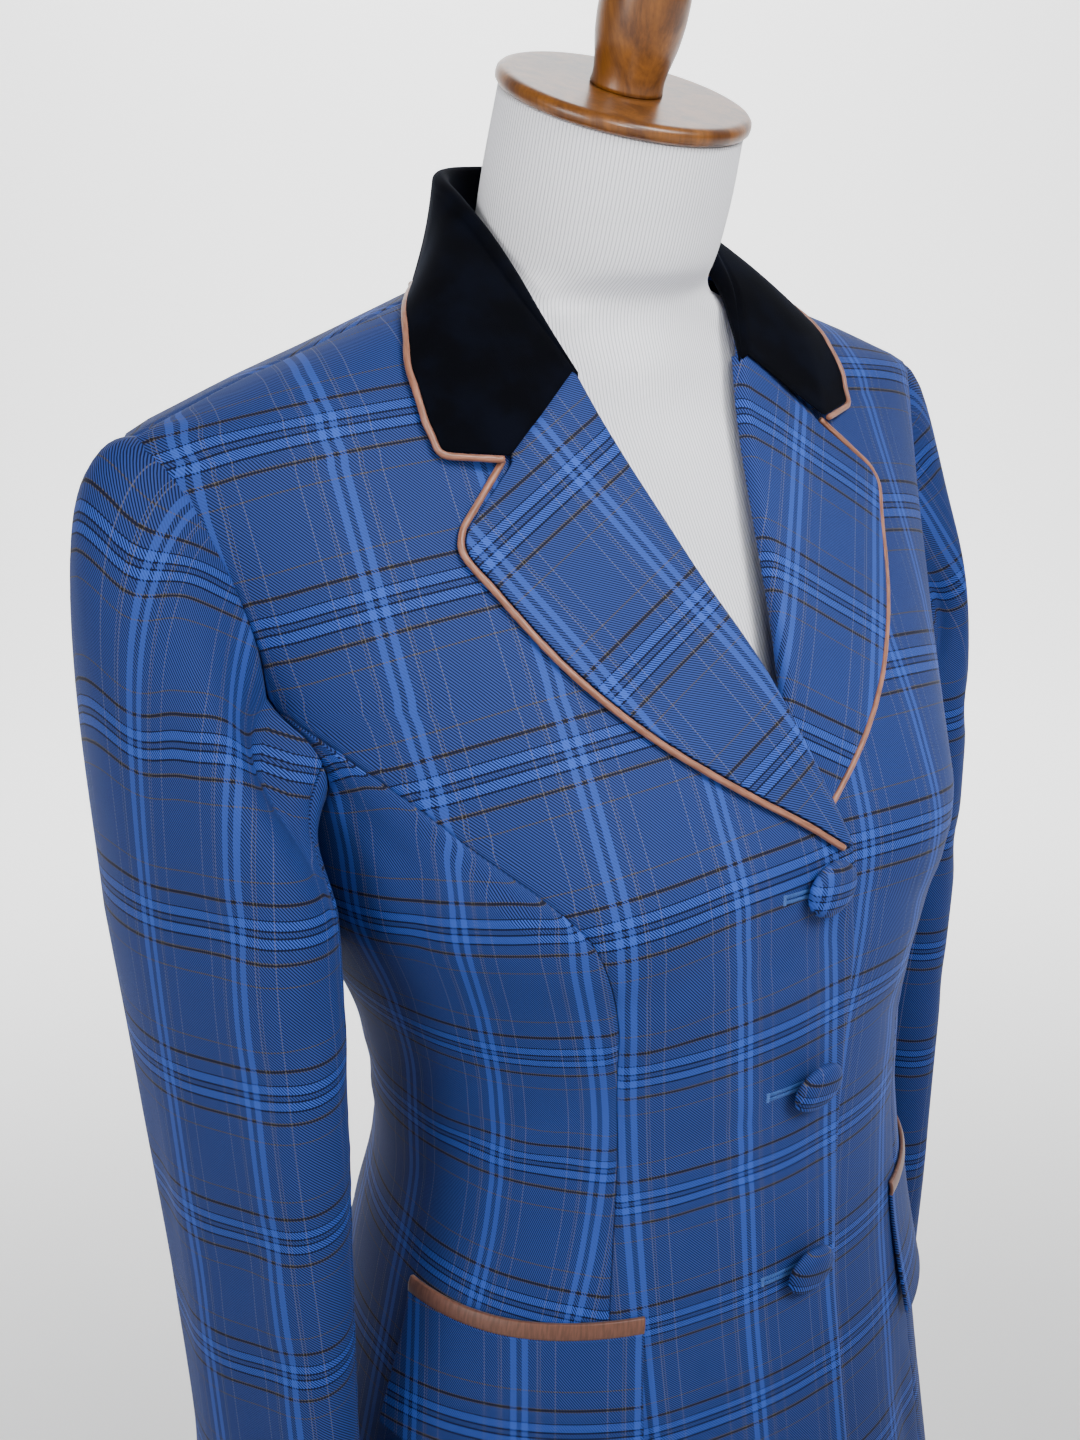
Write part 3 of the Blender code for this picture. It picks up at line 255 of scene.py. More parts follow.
SLEEVE_ARC = 0.00085    # metres round a sleeve to one degree

# The check: where each colour of yarn starts across one repeat, in millimetres. A repeat has one pair of bars
WARP_REPEAT, WEFT_REPEAT = 50.0, 63.0
WARP_YARNS = (
    (0.0, "navy"), (10.3, "tan"), (10.7, "navy"), (16.3, "tan"), (16.6, "brown"), (17.5, "tan"),
    (17.8, "navy"), (21.3, "bright"), (23.9, "navy"), (24.6, "ink"), (25.4, "navy"), (26.1, "bright"),
    (28.7, "navy"), (32.2, "tan"), (32.5, "brown"), (33.4, "tan"), (33.7, "navy"), (39.3, "tan"),
    (39.7, "navy"),
)
WEFT_YARNS = (
    (0.0, "blue"), (12.5, "tan"), (12.9, "blue"), (20.2, "tan"), (20.5, "brown"), (21.4, "tan"),
    (21.7, "blue"), (26.0, "ink"), (26.7, "sky"), (29.8, "ink"), (30.6, "blue"), (32.4, "ink"),
    (33.1, "sky"), (36.2, "ink"), (36.7, "blue"), (41.4, "tan"), (41.7, "brown"), (42.6, "tan"),
    (42.9, "blue"), (50.1, "tan"), (50.5, "blue"),
)
YARNS = {   # linear red, green, blue
    "navy": (0.0024, 0.0056, 0.0360),
    "ink": (0.0012, 0.0030, 0.0165),
    "blue": (0.0260, 0.0610, 0.2650),
    "sky": (0.0360, 0.1030, 0.4900),
    "bright": (0.0260, 0.0710, 0.3500),
    "tan": (0.1000, 0.0900, 0.0850),
    "brown": (0.0075, 0.0060, 0.0070),
}
TWILL_ACROSS, TWILL_UP = 1.13, 1.37     # millimetres from one twill line to the next

# How the check lies on each piece laid flat: its turn in degrees, then where its bars lie across and up
FRONT_UP = (0.1035, 0.1520, 0.2090, 0.2675, 0.3355, 0.4020, 0.4706, 0.5348)
SIDE_UP = (0.1610, 0.2190, 0.2820, 0.3310, 0.3890)
SLEEVE_UP = (0.2010, 0.2635, 0.3245, 0.3880, 0.4495, 0.5090)
CHECK_LAY = {
    "front_right": (-1.7, (-0.1467, -0.0937, -0.0446, -0.0015), FRONT_UP),
    "front_left": (1.7, (0.0300, 0.0760, 0.1250), FRONT_UP),
    "side_right": (3.0, (-0.0046, 0.0390, 0.0785), SIDE_UP),
    "side_left": (-3.0, (-0.0785, -0.0390, 0.0046), SIDE_UP),
    "back_right": (0.0, (0.0250,), (0.2100,)),
    "back_left": (0.0, (-0.0250,), (0.2100,)),
    "top_sleeve_right": (-1.0, (0.0217, 0.0600), SLEEVE_UP),
    "top_sleeve_left": (1.0, (-0.0600, -0.0217), SLEEVE_UP),
    "under_sleeve_right": (0.0, (0.0100,), (0.2010,)),
    "under_sleeve_left": (0.0, (-0.0100,), (0.2010,)),
    "lapel_right": (-9.5, (-0.0508, -0.0006), (-0.0166, 0.0454, 0.1123)),
    "lapel_left": (16.0, (-0.0055,), (0.0435,)),
    "pocket_flap_right": (0.0, (-0.0400,), (0.0200,)),
    "pocket_flap_left": (0.0, (0.0400,), (0.0200,)),
}

# Camera: the photograph's frame is 1080 by 1440
CAMERA_TURN, CAMERA_RISE, CAMERA_ROLL = -36.6, 16.0, -2.52   # degrees
CAMERA_FAR, CAMERA_LENS = 0.654, 39.525
CAMERA_AIM = (-0.0417, -0.0190, 0.677)

# Stage: how far the floor goes to the sides, in front and behind, its sweep and top. Then each light's name,
# place, aim, size, power in watts and spread in degrees
FLOOR_SIDE, FLOOR_NEAR, FLOOR_FAR, SWEEP, FLOOR_TOP = 6.0, 5.0, 2.2, 1.2, 6.0
LIGHTS = (
    ("key_light", (0.04, -0.66, 1.16), (-0.02, -0.13, 0.67), 0.50, 1.35, 42.0),
    ("side_light", (-1.70, -0.35, 1.05), (0.0, 0.0, 0.76), 0.9, 2.0, 46.0),
    ("neck_light", (-0.55, -1.00, 1.25), (0.0, -0.02, 0.97), 0.30, 0.30, 30.0),
)


def smooth(places, values):
    """A function through the points, smooth and without overshoot."""
    x, y = np.asarray(places, float), np.asarray(values, float)
    step = np.diff(x)
    rise = np.diff(y) / step
    slope = np.zeros_like(y)
    near, far = 2 * step[1:] + step[:-1], step[1:] + 2 * step[:-1]
    same_way = rise[:-1] * rise[1:] > 0
    below, above = np.where(same_way, rise[:-1], 1.0), np.where(same_way, rise[1:], 1.0)
    slope[1:-1] = np.where(same_way, (near + far) / (near / below + far / above), 0.0)
    slope[0], slope[-1] = rise[0], rise[-1]

    def at(place):
        place = np.clip(place, x[0], x[-1])
        k = np.clip(np.searchsorted(x, place) - 1, 0, len(step) - 1)
        t = (place - x[k]) / step[k]
        start = y[k] * (1 + 2 * t) + step[k] * slope[k] * t
        end = y[k + 1] * (3 - 2 * t) - step[k] * slope[k + 1] * (1 - t)
        return start * (1 - t) ** 2 + end * t ** 2

    return at


def columns_of(table, names):
    """The table's other columns as smooth functions of its first one."""
    data = np.array(table, float).T
    return {name: smooth(data[0], data[i]) for i, name in enumerate(names) if i}


def ease(t):
    """0 to 1, starting and ending softly."""
    t = np.clip(t, 0.0, 1.0)
    return t * t * (3 - 2 * t)


def hump(distance, width):
    """1 at no distance, fading out on both sides."""
    return np.exp(-(distance / width) ** 2)


def unit(vectors):
    """Vectors brought to a length of one."""
    return vectors / np.linalg.norm(vectors, axis=-1, keepdims=True)


COAT = columns_of(COAT_SECTIONS, COAT_COLUMNS)
SLEEVE = columns_of(SLEEVE_RINGS[::-1], SLEEVE_COLUMNS)
FORM = columns_of(FORM_SECTIONS, FORM_COLUMNS)
COLLAR = columns_of(COLLAR_SECTIONS, COLLAR_COLUMNS)
POCKET = columns_of(POCKET_LINE, POCKET_COLUMNS)
LAPEL = columns_of(LAPEL_EDGE, LAPEL_COLUMNS)
BUST_SEAM_AT, BACK_SEAM_AT = smooth(*np.array(BUST_SEAM).T), smooth(*np.array(BACK_SEAM).T)
FRONT_ARMHOLE_AT, BACK_ARMHOLE_AT = smooth(*np.array(FRONT_ARMHOLE).T), smooth(*np.array(BACK_ARMHOLE).T)


# The coat's skin, and lines on it

def coat_skin(turn, height):
    """Points of the coat's outer skin on its left side. turn is in degrees round from the centre front."""
    turn, height = np.broadcast_arrays(np.asarray(turn, float), np.asarray(height, float))
    angle = np.radians(turn)
    power = 2.0 / COAT["power"](height)
    x = COAT["half_width"](height) * np.sign(np.sin(angle)) * np.abs(np.sin(angle)) ** power
    in_front = np.cos(angle) >= 0
    centre = COAT["centre_y"](height)
    depth = np.where(in_front, -COAT["front"](height), COAT["back"](height)) - centre
    y = centre + depth * np.abs(np.cos(angle)) ** power
    bust = BUST_RISE * hump(np.abs(x) - BUST_X, BUST_WIDE) * hump(height - BUST_HEIGHT, BUST_TALL)
    y = y - np.where(in_front, bust * np.abs(np.cos(angle)) ** power, 0.0)
    flare = ease((FOLD_TOP - height) / (FOLD_TOP - HEM))
    ripple = sum(depth_at_hem * hump(np.abs(turn) - at, wide) for at, depth_at_hem, wide in SKIRT_FOLDS)
    x, y = x * (1 + flare * ripple / RIPPLE_WIDE), y * (1 + flare * ripple / RIPPLE_DEEP)
    return np.stack([x, y, height], -1)


def skin_normal(turn, height):
    """Outward unit normals of the coat's skin."""
    turn, height = np.asarray(turn), np.asarray(height)
    across = coat_skin(turn + NEAR_TURN, height) - coat_skin(turn - NEAR_TURN, height)
    up = coat_skin(turn, height + NEAR_HEIGHT) - coat_skin(turn, height - NEAR_HEIGHT)
    return unit(np.cross(across, up))


def moved_out(turn, height, distance):
    """Points of the coat's skin, moved out along its normals."""
    return coat_skin(turn, height) + skin_normal(turn, height) * np.asarray(distance)[..., None]


def turn_at(x, height, back=False):
    """How far round the skin is x metres from the centre line. x may be negative, past the centre front."""
    share = np.clip(np.abs(x) / COAT["half_width"](height), 0.0, 1.0)
    turn = np.degrees(np.arcsin(share ** (COAT["power"](height) / 2.0)))
    return np.where(back, 180.0 - turn, np.sign(x) * turn)


def lengths_along(points):
    """Distance from the first point, along the line of points."""
    return np.concatenate([[0.0], np.cumsum(np.linalg.norm(np.diff(points, axis=0), axis=1))])


def spaced_turns(start, end, height, count):
    """Turns from one seam to the other, close together beside the seams, and their distances from both."""
    turns = np.linspace(start, end, 160)
    along = lengths_along(coat_skin(turns, height))
    beside_seam = np.array(SEAM_SPACING) * min(1.0, along[-1] / 0.03)
    low, high = SEAM_GAP / 2, along[-1] - SEAM_GAP / 2
    middle = np.linspace(low + beside_seam[-1], high - beside_seam[-1], count - 2 * len(beside_seam) + 2)
    places = np.concatenate([low + beside_seam[:-1], middle, high - beside_seam[:-1][::-1]])
    return np.interp(places, along, turns), places - low, high - places


def to_side(points, side):
    """Points of the left side carried to the side: 1 is the coat's left, -1 its right."""
    return points * np.array([side, 1.0, 1.0])


def both_faces(turns, height, off_skin, thick, side):
    """A sheet's outer points off the skin and the inner ones behind them, on that side."""
    return tuple(to_side(moved_out(turns, height, off), side) for off in (off_skin, off_skin - thick))


def roll_line(height):
    """The lapel's fold, as distance from the centre line."""
    return -OVERLAP + ROLL_SLOPE * (height - BREAK)


def front_lift(turn, height, side):
    """How far the right front stands off the skin, so that it clears the left front and lapel under it."""
    x = coat_skin(turn, height)[..., 0]
    low, low_ease, high, high_ease = LAPEL_LAP_SPAN
    over_lapel = ease((height - low) / low_ease) * ease((high - height) / high_ease)
    lift = LAP_LIFT + (LAPEL_LAP_LIFT - LAP_LIFT) * over_lapel
    return (side < 0) * lift * ease((LAP_SPREAD - x) / LAP_SPREAD)


def outer_seam(height, back):
    """How far round a front or back panel reaches: its long seam, then the armhole, then the shoulder."""
    seam, armhole = (BACK_SEAM_AT, BACK_ARMHOLE_AT) if back else (BUST_SEAM_AT, FRONT_ARMHOLE_AT)
    if height >= TIP:
        return 90.0
    return float(turn_at(seam(height) if height <= JOIN else armhole(height), height, back))


def troughs(table, arc, turn, height, side):
    """How deep the creases of the table lie at each point. A crease fades towards both its ends."""
    depth_there = np.zeros(np.broadcast(turn, height).shape)
    for one_side, turn_a, height_a, turn_b, height_b, depth, width in table:
        if one_side not in (0, side):
            continue
        along = np.array([((turn_b - turn_a + 180.0) % 360.0 - 180.0) * arc, height_b - height_a])
        away_turn = ((turn - turn_a + 180.0) % 360.0 - 180.0) * arc
        share = np.clip((away_turn * along[0] + (height - height_a) * along[1]) / (along @ along), 0.0, 1.0)
        bend = 0.18 * np.sin(3.0 * share + turn_a) * width
        off = np.hypot(away_turn - share * along[0] - bend, height - height_a - share * along[1])
        uneven = 0.75 + 0.5 * share + 0.12 * np.sin(9.0 * share + height_a * 40)
        depth_there += depth * hump(off, width * uneven) * np.sin(np.pi * (0.08 + 0.84 * share)) ** 0.8
    return depth_there


def seam_dip(distance, height):
    """How far cloth sinks beside a seam, with a little pucker along it."""
    pucker = PUCKER * np.sin(height * 310.0 + 2.0 * np.sin(height * 71.0)) * np.exp(-distance / PUCKER_WIDE)
    return SEAM_DIP * hump(distance, SEAM_WIDE) + pucker


# Laying a piece flat, and making meshes

def quads_of(index):
    """The four corners of each cell in a grid of point numbers."""
    return np.stack([index[:-1, :-1], index[:-1, 1:], index[1:, 1:], index[1:, :-1]], -1).reshape(-1, 4)


def laid_flat(points, iterations=30):
    """A grid of points laid out flat with little stretch, in metres, columns across and rows up."""
    rows, columns = points.shape[:2]
    count = rows * columns
    cells = quads_of(np.arange(count).reshape(rows, columns))
    corners = np.concatenate([cells[:, [0, 1, 2]], cells[:, [0, 2, 3]]])
    p = points.reshape(-1, 3)[corners]
    first, second = p[:, 1] - p[:, 0], p[:, 2] - p[:, 0]
    across = unit(first)
    up = unit(np.cross(np.cross(first, second), across))
    flat = np.zeros((len(p), 3, 2))
    flat[:, 1, 0] = (first * across).sum(1)
    flat[:, 2] = np.stack([(second * across).sum(1), (second * up).sum(1)], 1)
    pull = np.zeros((count, count))
    edges = []
    for i, j, k in ((0, 1, 2), (1, 2, 0), (2, 0, 1)):
        to_i, to_j = flat[:, i] - flat[:, k], flat[:, j] - flat[:, k]
        cross = np.abs(to_i[:, 0] * to_j[:, 1] - to_i[:, 1] * to_j[:, 0])
        weight = np.maximum((to_i * to_j).sum(1) / np.maximum(cross, 1e-12), 0.02)
        one, two = corners[:, i], corners[:, j]
        for start, end, sign in ((one, one, 1), (two, two, 1), (one, two, -1), (two, one, -1)):
            np.add.at(pull, (start, end), sign * weight)
        edges.append((one, two, weight, flat[:, i] - flat[:, j]))
    pull[0, 0] += 1.0
    solve = np.linalg.inv(pull)
    lay = np.zeros((rows, columns, 2))
    lay[:, 1:, 0] = np.cumsum(np.linalg.norm(np.diff(points, axis=1), axis=2), axis=1)
    lay[:, :, 0] -= lay[:, columns // 2, 0][:, None]
    lay[:, :, 1] = lengths_along(points[:, columns // 2])[:, None]
    lay = lay.reshape(-1, 2)
    for _ in range(iterations):
        total = np.zeros((len(corners), 2, 2))
        for one, two, weight, rest in edges:
            total += weight[:, None, None] * (lay[one] - lay[two])[:, :, None] * rest[:, None, :]
        angle = np.arctan2(total[:, 1, 0] - total[:, 0, 1], total[:, 0, 0] + total[:, 1, 1])
        target = np.zeros_like(lay)
        for one, two, weight, rest in edges:
            wanted = weight[:, None] * turned_lay(rest, angle)
            np.add.at(target, one, wanted)
            np.add.at(target, two, -wanted)
        lay = solve @ target
    return lay.reshape(rows, columns, 2)


def flat_lay(points):
    """laid_flat on a coarser grid, brought back to the whole one."""
    rows, columns = points.shape[:2]
    some_rows = np.unique(np.linspace(0, rows - 1, min(rows, FLAT_ROWS)).round().astype(int))
    some_columns = np.unique(np.linspace(0, columns - 1, min(columns, FLAT_COLUMNS)).round().astype(int))
    coarse = laid_flat(points[np.ix_(some_rows, some_columns)])
    by_row = np.stack([[smooth(some_rows, coarse[:, c, k])(np.arange(rows)) for k in range(2)]
                       for c in range(len(some_columns))])
    place = lengths_along(points[rows // 2])
    return np.stack([np.stack([smooth(place[some_columns], by_row[:, k, r])(place) for k in range(2)], -1)
                     for r in range(rows)])


def set_grain(lay, column, low_row, high_row, mirrored):
    """Turns a flat lay so that a stretch of one column runs straight up, and starts it there.

    Across is to the right as the piece is seen from outside."""
    lay = lay * np.array([-1.0 if mirrored else 1.0, 1.0])
    lay = lay - lay[low_row, column]
    along = lay[high_row, column]
    return turned_lay(lay, math.pi / 2 - math.atan2(along[1], along[0]))


def turned_lay(lay, angle):
    """A flat lay, turned by that angle."""
    cos, sin = np.cos(angle), np.sin(angle)
    return np.stack([cos * lay[..., 0] - sin * lay[..., 1], sin * lay[..., 0] + cos * lay[..., 1]], -1)


def between_bars(place, bars, repeat):
    """Places on the cloth, whose bars lie at those places on the piece. Beyond them it is not eased."""
    bars, known = np.array(bars), (np.arange(len(bars)) + 0.5) * repeat / 1000.0
    past = np.minimum(place - bars[0], 0.0) + np.maximum(place - bars[-1], 0.0)
    return np.interp(place, bars, known) + past


def check_spots(lay, name):
    """Where each point of a piece laid flat is on the cloth, in metres."""
    if name not in CHECK_LAY:
        return lay
    turn, across, up = CHECK_LAY[name]
    lay = turned_lay(lay, math.radians(turn))
    spots = (between_bars(lay[..., 0], across, WARP_REPEAT), between_bars(lay[..., 1], up, WEFT_REPEAT))
    return np.stack(spots, -1)


def new_object(name, data):
    """A new object of that mesh, light or camera, in the scene."""
    thing = bpy.data.objects.new(name, data)
    bpy.context.scene.collection.objects.link(thing)
    return thing


def link_mesh(name, mesh, material):
    """A smooth new object of the mesh, in that material."""
    mesh.shade_smooth()
    mesh.materials.append(material)
    return new_object(name, mesh)


def shell(name, outer, inner, lay, material):
    """A closed shell between two grids of points with a rounded rim. lay is its UV map."""
    rows, columns = outer.shape[:2]
    rim = [(0, c) for c in range(columns)]
    rim += [(r, columns - 1) for r in range(1, rows)]
    rim += [(rows - 1, c) for c in range(columns - 2, -1, -1)]
    rim += [(r, 0) for r in range(rows - 2, 0, -1)]
    rim_r, rim_c = np.array(rim).T
    in_r, in_c = np.clip(rim_r, 1, rows - 2), np.clip(rim_c, 1, columns - 2)
    outwards = outer[rim_r, rim_c] - outer[in_r, in_c]
    outwards /= np.maximum(np.linalg.norm(outwards, axis=1, keepdims=True), 1e-9)
    thick = np.linalg.norm(outer[rim_r, rim_c] - inner[rim_r, rim_c], axis=1, keepdims=True)
    edge = (outer[rim_r, rim_c] + inner[rim_r, rim_c]) / 2
    edge = edge + outwards * np.minimum(RIM_SHARE * thick, RIM_MOST)
    count = rows * columns
    points = np.concatenate([outer.reshape(-1, 3), inner.reshape(-1, 3), edge])
    index = np.arange(count).reshape(rows, columns)
    quads = quads_of(index)
    start = index[rim_r, rim_c]
    after = np.roll(start, -1)
    middle = 2 * count + np.arange(len(rim))
    middle_after = np.roll(middle, -1)
    faces = np.concatenate([quads, quads[:, ::-1] + count,
                            np.stack([after, start, middle, middle_after], 1),
                            np.stack([middle_after, middle, start + count, after + count], 1)])
    flat = lay.reshape(-1, 2)
    spots = np.concatenate([flat, flat, flat[start]])
    return mesh_object(name, points, faces.tolist(), spots[faces.ravel()], material)


def mesh_object(name, points, faces, spots, material):
    """A closed mesh with its faces pointing out. Its UV map has a spot for each corner of each face."""
    mesh = bpy.data.meshes.new(name)
    mesh.from_pydata(points.tolist(), [], faces)
    mesh.uv_layers.new(name="flat_lay").data.foreach_set("uv", np.asarray(spots, float).ravel())
    maker = bmesh.new()
    maker.from_mesh(mesh)
    bmesh.ops.recalc_face_normals(maker, faces=maker.faces)
    maker.to_mesh(mesh)
    maker.free()
    return link_mesh(name, mesh, material)


def place(thing, slot, *nodes):
    """Puts a finished piece on the object in the place of its nodes."""
    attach(thing, "root")
    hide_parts(*nodes)
    return thing


def cloth_piece(name, outer, inner, lay, held, rests_on, material, slot="checked_cloth"):
    """A sheet of cloth in the place of the node of that name."""
    thing = shell(name + "_cloth", outer, inner, check_spots(lay, name), material)
    place(thing, slot, name)


# The panels of the body

def front_edge(height, side):
    """Where a front panel starts: at its edge, and above the break at the fold of its lapel."""
    turned_back = FOLD_ROOM * ease((height - BREAK) / FOLD_EASE) + ROLL_SLOPE * max(0.0, height - BREAK)
    return -OVERLAP + turned_back - (side < 0) * LAP_MORE * ease((BREAK - LAP_BELOW - height) / LAP_EASE)


def panel_grid(heights, starts, ends, side, lift_at, seams):
    """Outer and inner points of a panel between two edges. seams says which of the two are sewn."""
    rows = [spaced_turns(a, b, h, PANEL_COLUMNS) for a, b, h in zip(starts, ends, heights)]
    turns, from_start, from_end = (np.array(part) for part in zip(*rows))
    height = np.broadcast_to(heights[:, None], turns.shape)
    off = lift_at(turns, height) - troughs(CREASES, CREASE_ARC, turns, height, side)
    off = off - seams[0] * seam_dip(from_start, height) - seams[1] * seam_dip(from_end, height)
    at_seam = seams[0] * hump(from_start, ALLOWANCE_WIDE) + seams[1] * hump(from_end, ALLOWANCE_WIDE)
    lapped = (side < 0) * (1 - seams[0]) * ease((BREAK - EDGE_BELOW - height) / EDGE_EASE)
    lifted = EDGE_LIFT * hump(from_start, EDGE_LIFT_WIDE) - EDGE_ROUND * hump(from_start, EDGE_ROUND_WIDE)
    turned_in = ALLOWANCE * at_seam + lapped * EDGE_FOLD * hump(from_start, EDGE_FOLD_WIDE)
    return both_faces(turns, height, off + lapped * lifted, SHELL + turned_in, side)


def rows_at(heights, *wanted):
    """Which of the rows lie at those heights."""
    return (int(np.searchsorted(heights, height)) for height in wanted)


def make_front(side, material):
    """A centre front, from the front edge and the fold of the lapel out to the bust seam and the armhole."""
    heights = np.linspace(HEM, NECK_POINT, FRONT_ROWS)
    starts = [float(turn_at(front_edge(h, side), h)) for h in heights]
    ends = [outer_seam(h, False) for h in heights]
    outer, inner = panel_grid(heights, starts, ends, side, lambda t, h: front_lift(t, h, side), (0, 1))
    lay = set_grain(flat_lay(outer), GRAIN_COLUMN, *rows_at(heights, *FRONT_GRAIN), side < 0)
    cloth_piece("front_" + SIDE_NAMES[side], outer, inner, lay, "draped", ["form_torso"], material)


def make_back(side, material):
    """Half of the back, from the side-back seam and the armhole to the centre back."""
    heights = np.linspace(HEM, NECK_POINT, BACK_ROWS)
    starts = [outer_seam(h, True) for h in heights]
    ends = np.full(len(heights), 180.0)
    outer, inner = panel_grid(heights, starts, ends, side, lambda t, h: 0.0 * t, (1, 1))
    lay = set_grain(flat_lay(outer), PANEL_COLUMNS - GRAIN_COLUMN, *rows_at(heights, *BACK_GRAIN), side < 0)
    cloth_piece("back_" + SIDE_NAMES[side], outer, inner, lay, "draped", ["form_torso"], material)


def armhole_bottom(share):
    """Height of the side panel's top edge, which dips under the arm."""
    return JOIN - (JOIN - ARMPIT) * np.sin(np.pi * np.asarray(share)) ** 0.8


def side_turn(share, height):
    """How far round the skin is, at that share of the way from the bust seam to the side-back seam."""
    turns = np.linspace(outer_seam(height, False), outer_seam(height, True), 60)
    along = lengths_along(coat_skin(turns, height))
    return float(np.interp(SEAM_GAP / 2 + (along[-1] - SEAM_GAP) * share, along, turns))


def make_side(side, material):
    """A side panel, under the arm, whose top edge is the bottom of the armhole."""
    near = np.array(SEAM_SPACING) / SIDE_WIDE
    middle = np.linspace(near[-1], 1 - near[-1], PANEL_COLUMNS - 2 * len(near) + 2)
    across = np.concatenate([near[:-1], middle, 1 - near[:-1][::-1]])
    from_start, from_end = across * SIDE_WIDE, (1 - across) * SIDE_WIDE
    share_up = np.linspace(0.0, 1.0, SIDE_ROWS)
    height = HEM + share_up[:, None] * (armhole_bottom(across) - HEM)[None, :]
    turns = np.array([[side_turn(s, h) for s, h in zip(across, row)] for row in height])
    off = -troughs(CREASES, CREASE_ARC, turns, height, side)
    off = off - seam_dip(from_start, height) - seam_dip(from_end, height)
    at_seam = hump(from_start, ALLOWANCE_WIDE) + hump(from_end, ALLOWANCE_WIDE)
    at_armhole = hump((1 - share_up)[:, None] * SIDE_TALL, 2 * ALLOWANCE_WIDE)
    turned_in = ALLOWANCE * np.maximum(at_seam[None, :], at_armhole)
    outer, inner = both_faces(turns, height, off, SHELL + turned_in, side)
    lay = set_grain(flat_lay(outer), PANEL_COLUMNS // 2, *SIDE_GRAIN_ROWS, side < 0)
    cloth_piece("side_" + SIDE_NAMES[side], outer, inner, lay, "draped", ["form_torso"], material)


# The sleeves

def armhole_loop(count):
    """Points round the armhole, from the front at its middle, up over the shoulder tip, and round."""
    up_front = np.linspace(JOIN, TIP, 24)
    front = coat_skin(turn_at(FRONT_ARMHOLE_AT(up_front), up_front), up_front)
    back = coat_skin(turn_at(BACK_ARMHOLE_AT(up_front), up_front, True), up_front)
    bottoms = [(share, float(armhole_bottom(share))) for share in np.linspace(1.0, 0.0, 40)]
    under = np.array([coat_skin(side_turn(share, height), height) for share, height in bottoms])
    loop = np.concatenate([front, back[::-1][1:], under[1:-1]])
    closed = np.concatenate([loop, loop[:1]])
    along = lengths_along(closed)
    places = np.linspace(0.0, along[-1], count + 1)[:-1]
    return np.stack([np.interp(places, along, closed[:, k]) for k in range(3)], -1)


def sleeve_ring(height, turns, side):
    """A ring of the hanging sleeve. A turn of 0 is its front, 90 its outside."""
    aside, back = SLEEVE_SHIFT[side]
    angle = np.radians(turns)
    across, deep = SLEEVE["half_across"](height), SLEEVE["half_deep"](height)
    away = np.abs((turns - CREASE_TURN + 180.0) % 360.0 - 180.0)
    crease = CREASE_DEPTH * hump(away, CREASE_WIDE) * ease((TIP - 0.05 - height) / 0.12)
    x = SLEEVE["centre_x"](height) + aside + (across - crease) * np.sin(angle)
    y = SLEEVE["centre_y"](height) + back - (deep - crease) * np.cos(angle)
    return np.stack([x, y, np.broadcast_to(height, x.shape)], -1)


def side_reach(y, height):
    """How far the coat's side reaches out at that distance back and that height."""
    centre = COAT["centre_y"](height)
    depth = np.where(y < centre, COAT["front"](height) + centre, COAT["back"](height) - centre)
    share = np.clip(np.abs(y - centre) / depth, 0.0, 1.0)
    power = COAT["power"](height)
    flare = ease((FOLD_TOP - height) / (FOLD_TOP - HEM))
    return COAT["half_width"](height) * (1 - share ** power) ** (1 / power) * (1 + flare * 0.05)


ARMHOLE = armhole_loop(360)


def sleeve_grid(turns, side):
    """Rows down a sleeve's outer face: the cap, turning from the armhole into the first ring, then rings."""
    centre = ARMHOLE.mean(axis=0)
    round_loop = np.degrees(np.arctan2(ARMHOLE[:, 2] - centre[2], -(ARMHOLE[:, 1] - centre[1])))
    order = np.argsort(round_loop)
    wrapped = np.concatenate([round_loop[order] - 360, round_loop[order], round_loop[order] + 360])
    ring = np.stack([np.interp((turns + 180) % 360 - 180, wrapped, np.tile(ARMHOLE[order][:, k], 3))
                     for k in range(3)], -1)
    ring = ring + hump(turns - 90.0, HEAD_WIDE)[:, None] * np.array([-HEAD_IN, 0.0, HEAD_IN])
    first = sleeve_ring(BICEPS, turns, side)
    angle = np.radians(turns)
    outside = 0.5 + 0.5 * np.sin(angle)
    start_way = unit(np.stack([0.45 + 0.55 * outside, -0.25 * np.cos(angle), -0.75 + 0.95 * outside], -1))
    reach = np.linalg.norm(first - ring, axis=-1)
    leave = ring - start_way * TUCK
    near = leave + start_way * (np.minimum(CAP_RISE, 0.5 * reach)[:, None])
    far = first + np.array([0.0, 0.0, 1.0]) * (0.48 * reach)[:, None]
    share = np.concatenate([HEAD_SHARES, np.linspace(0.05, 1.0, CAP_ROWS - 4)])
    rows = [leave * (1 - t) ** 3 + near * 3 * t * (1 - t) ** 2 + far * 3 * t * t * (1 - t) + first * t ** 3
            for t in share]
    rows += [sleeve_ring(height, turns, side) for height in np.linspace(BICEPS, CUFF, ARM_ROWS + 1)[1:]]
    grid = np.array(rows)
    short = side_reach(grid[..., 1], grid[..., 2]) + SLEEVE_CLEAR - grid[..., 0]
    held = np.concatenate([ease((share * 8.0 - 1.0) / 3.0), np.ones(ARM_ROWS)])[:, None]
    grid[..., 0] += held * (short + np.sqrt(short ** 2 + SLEEVE_SOFT ** 2)) / 2
    return grid


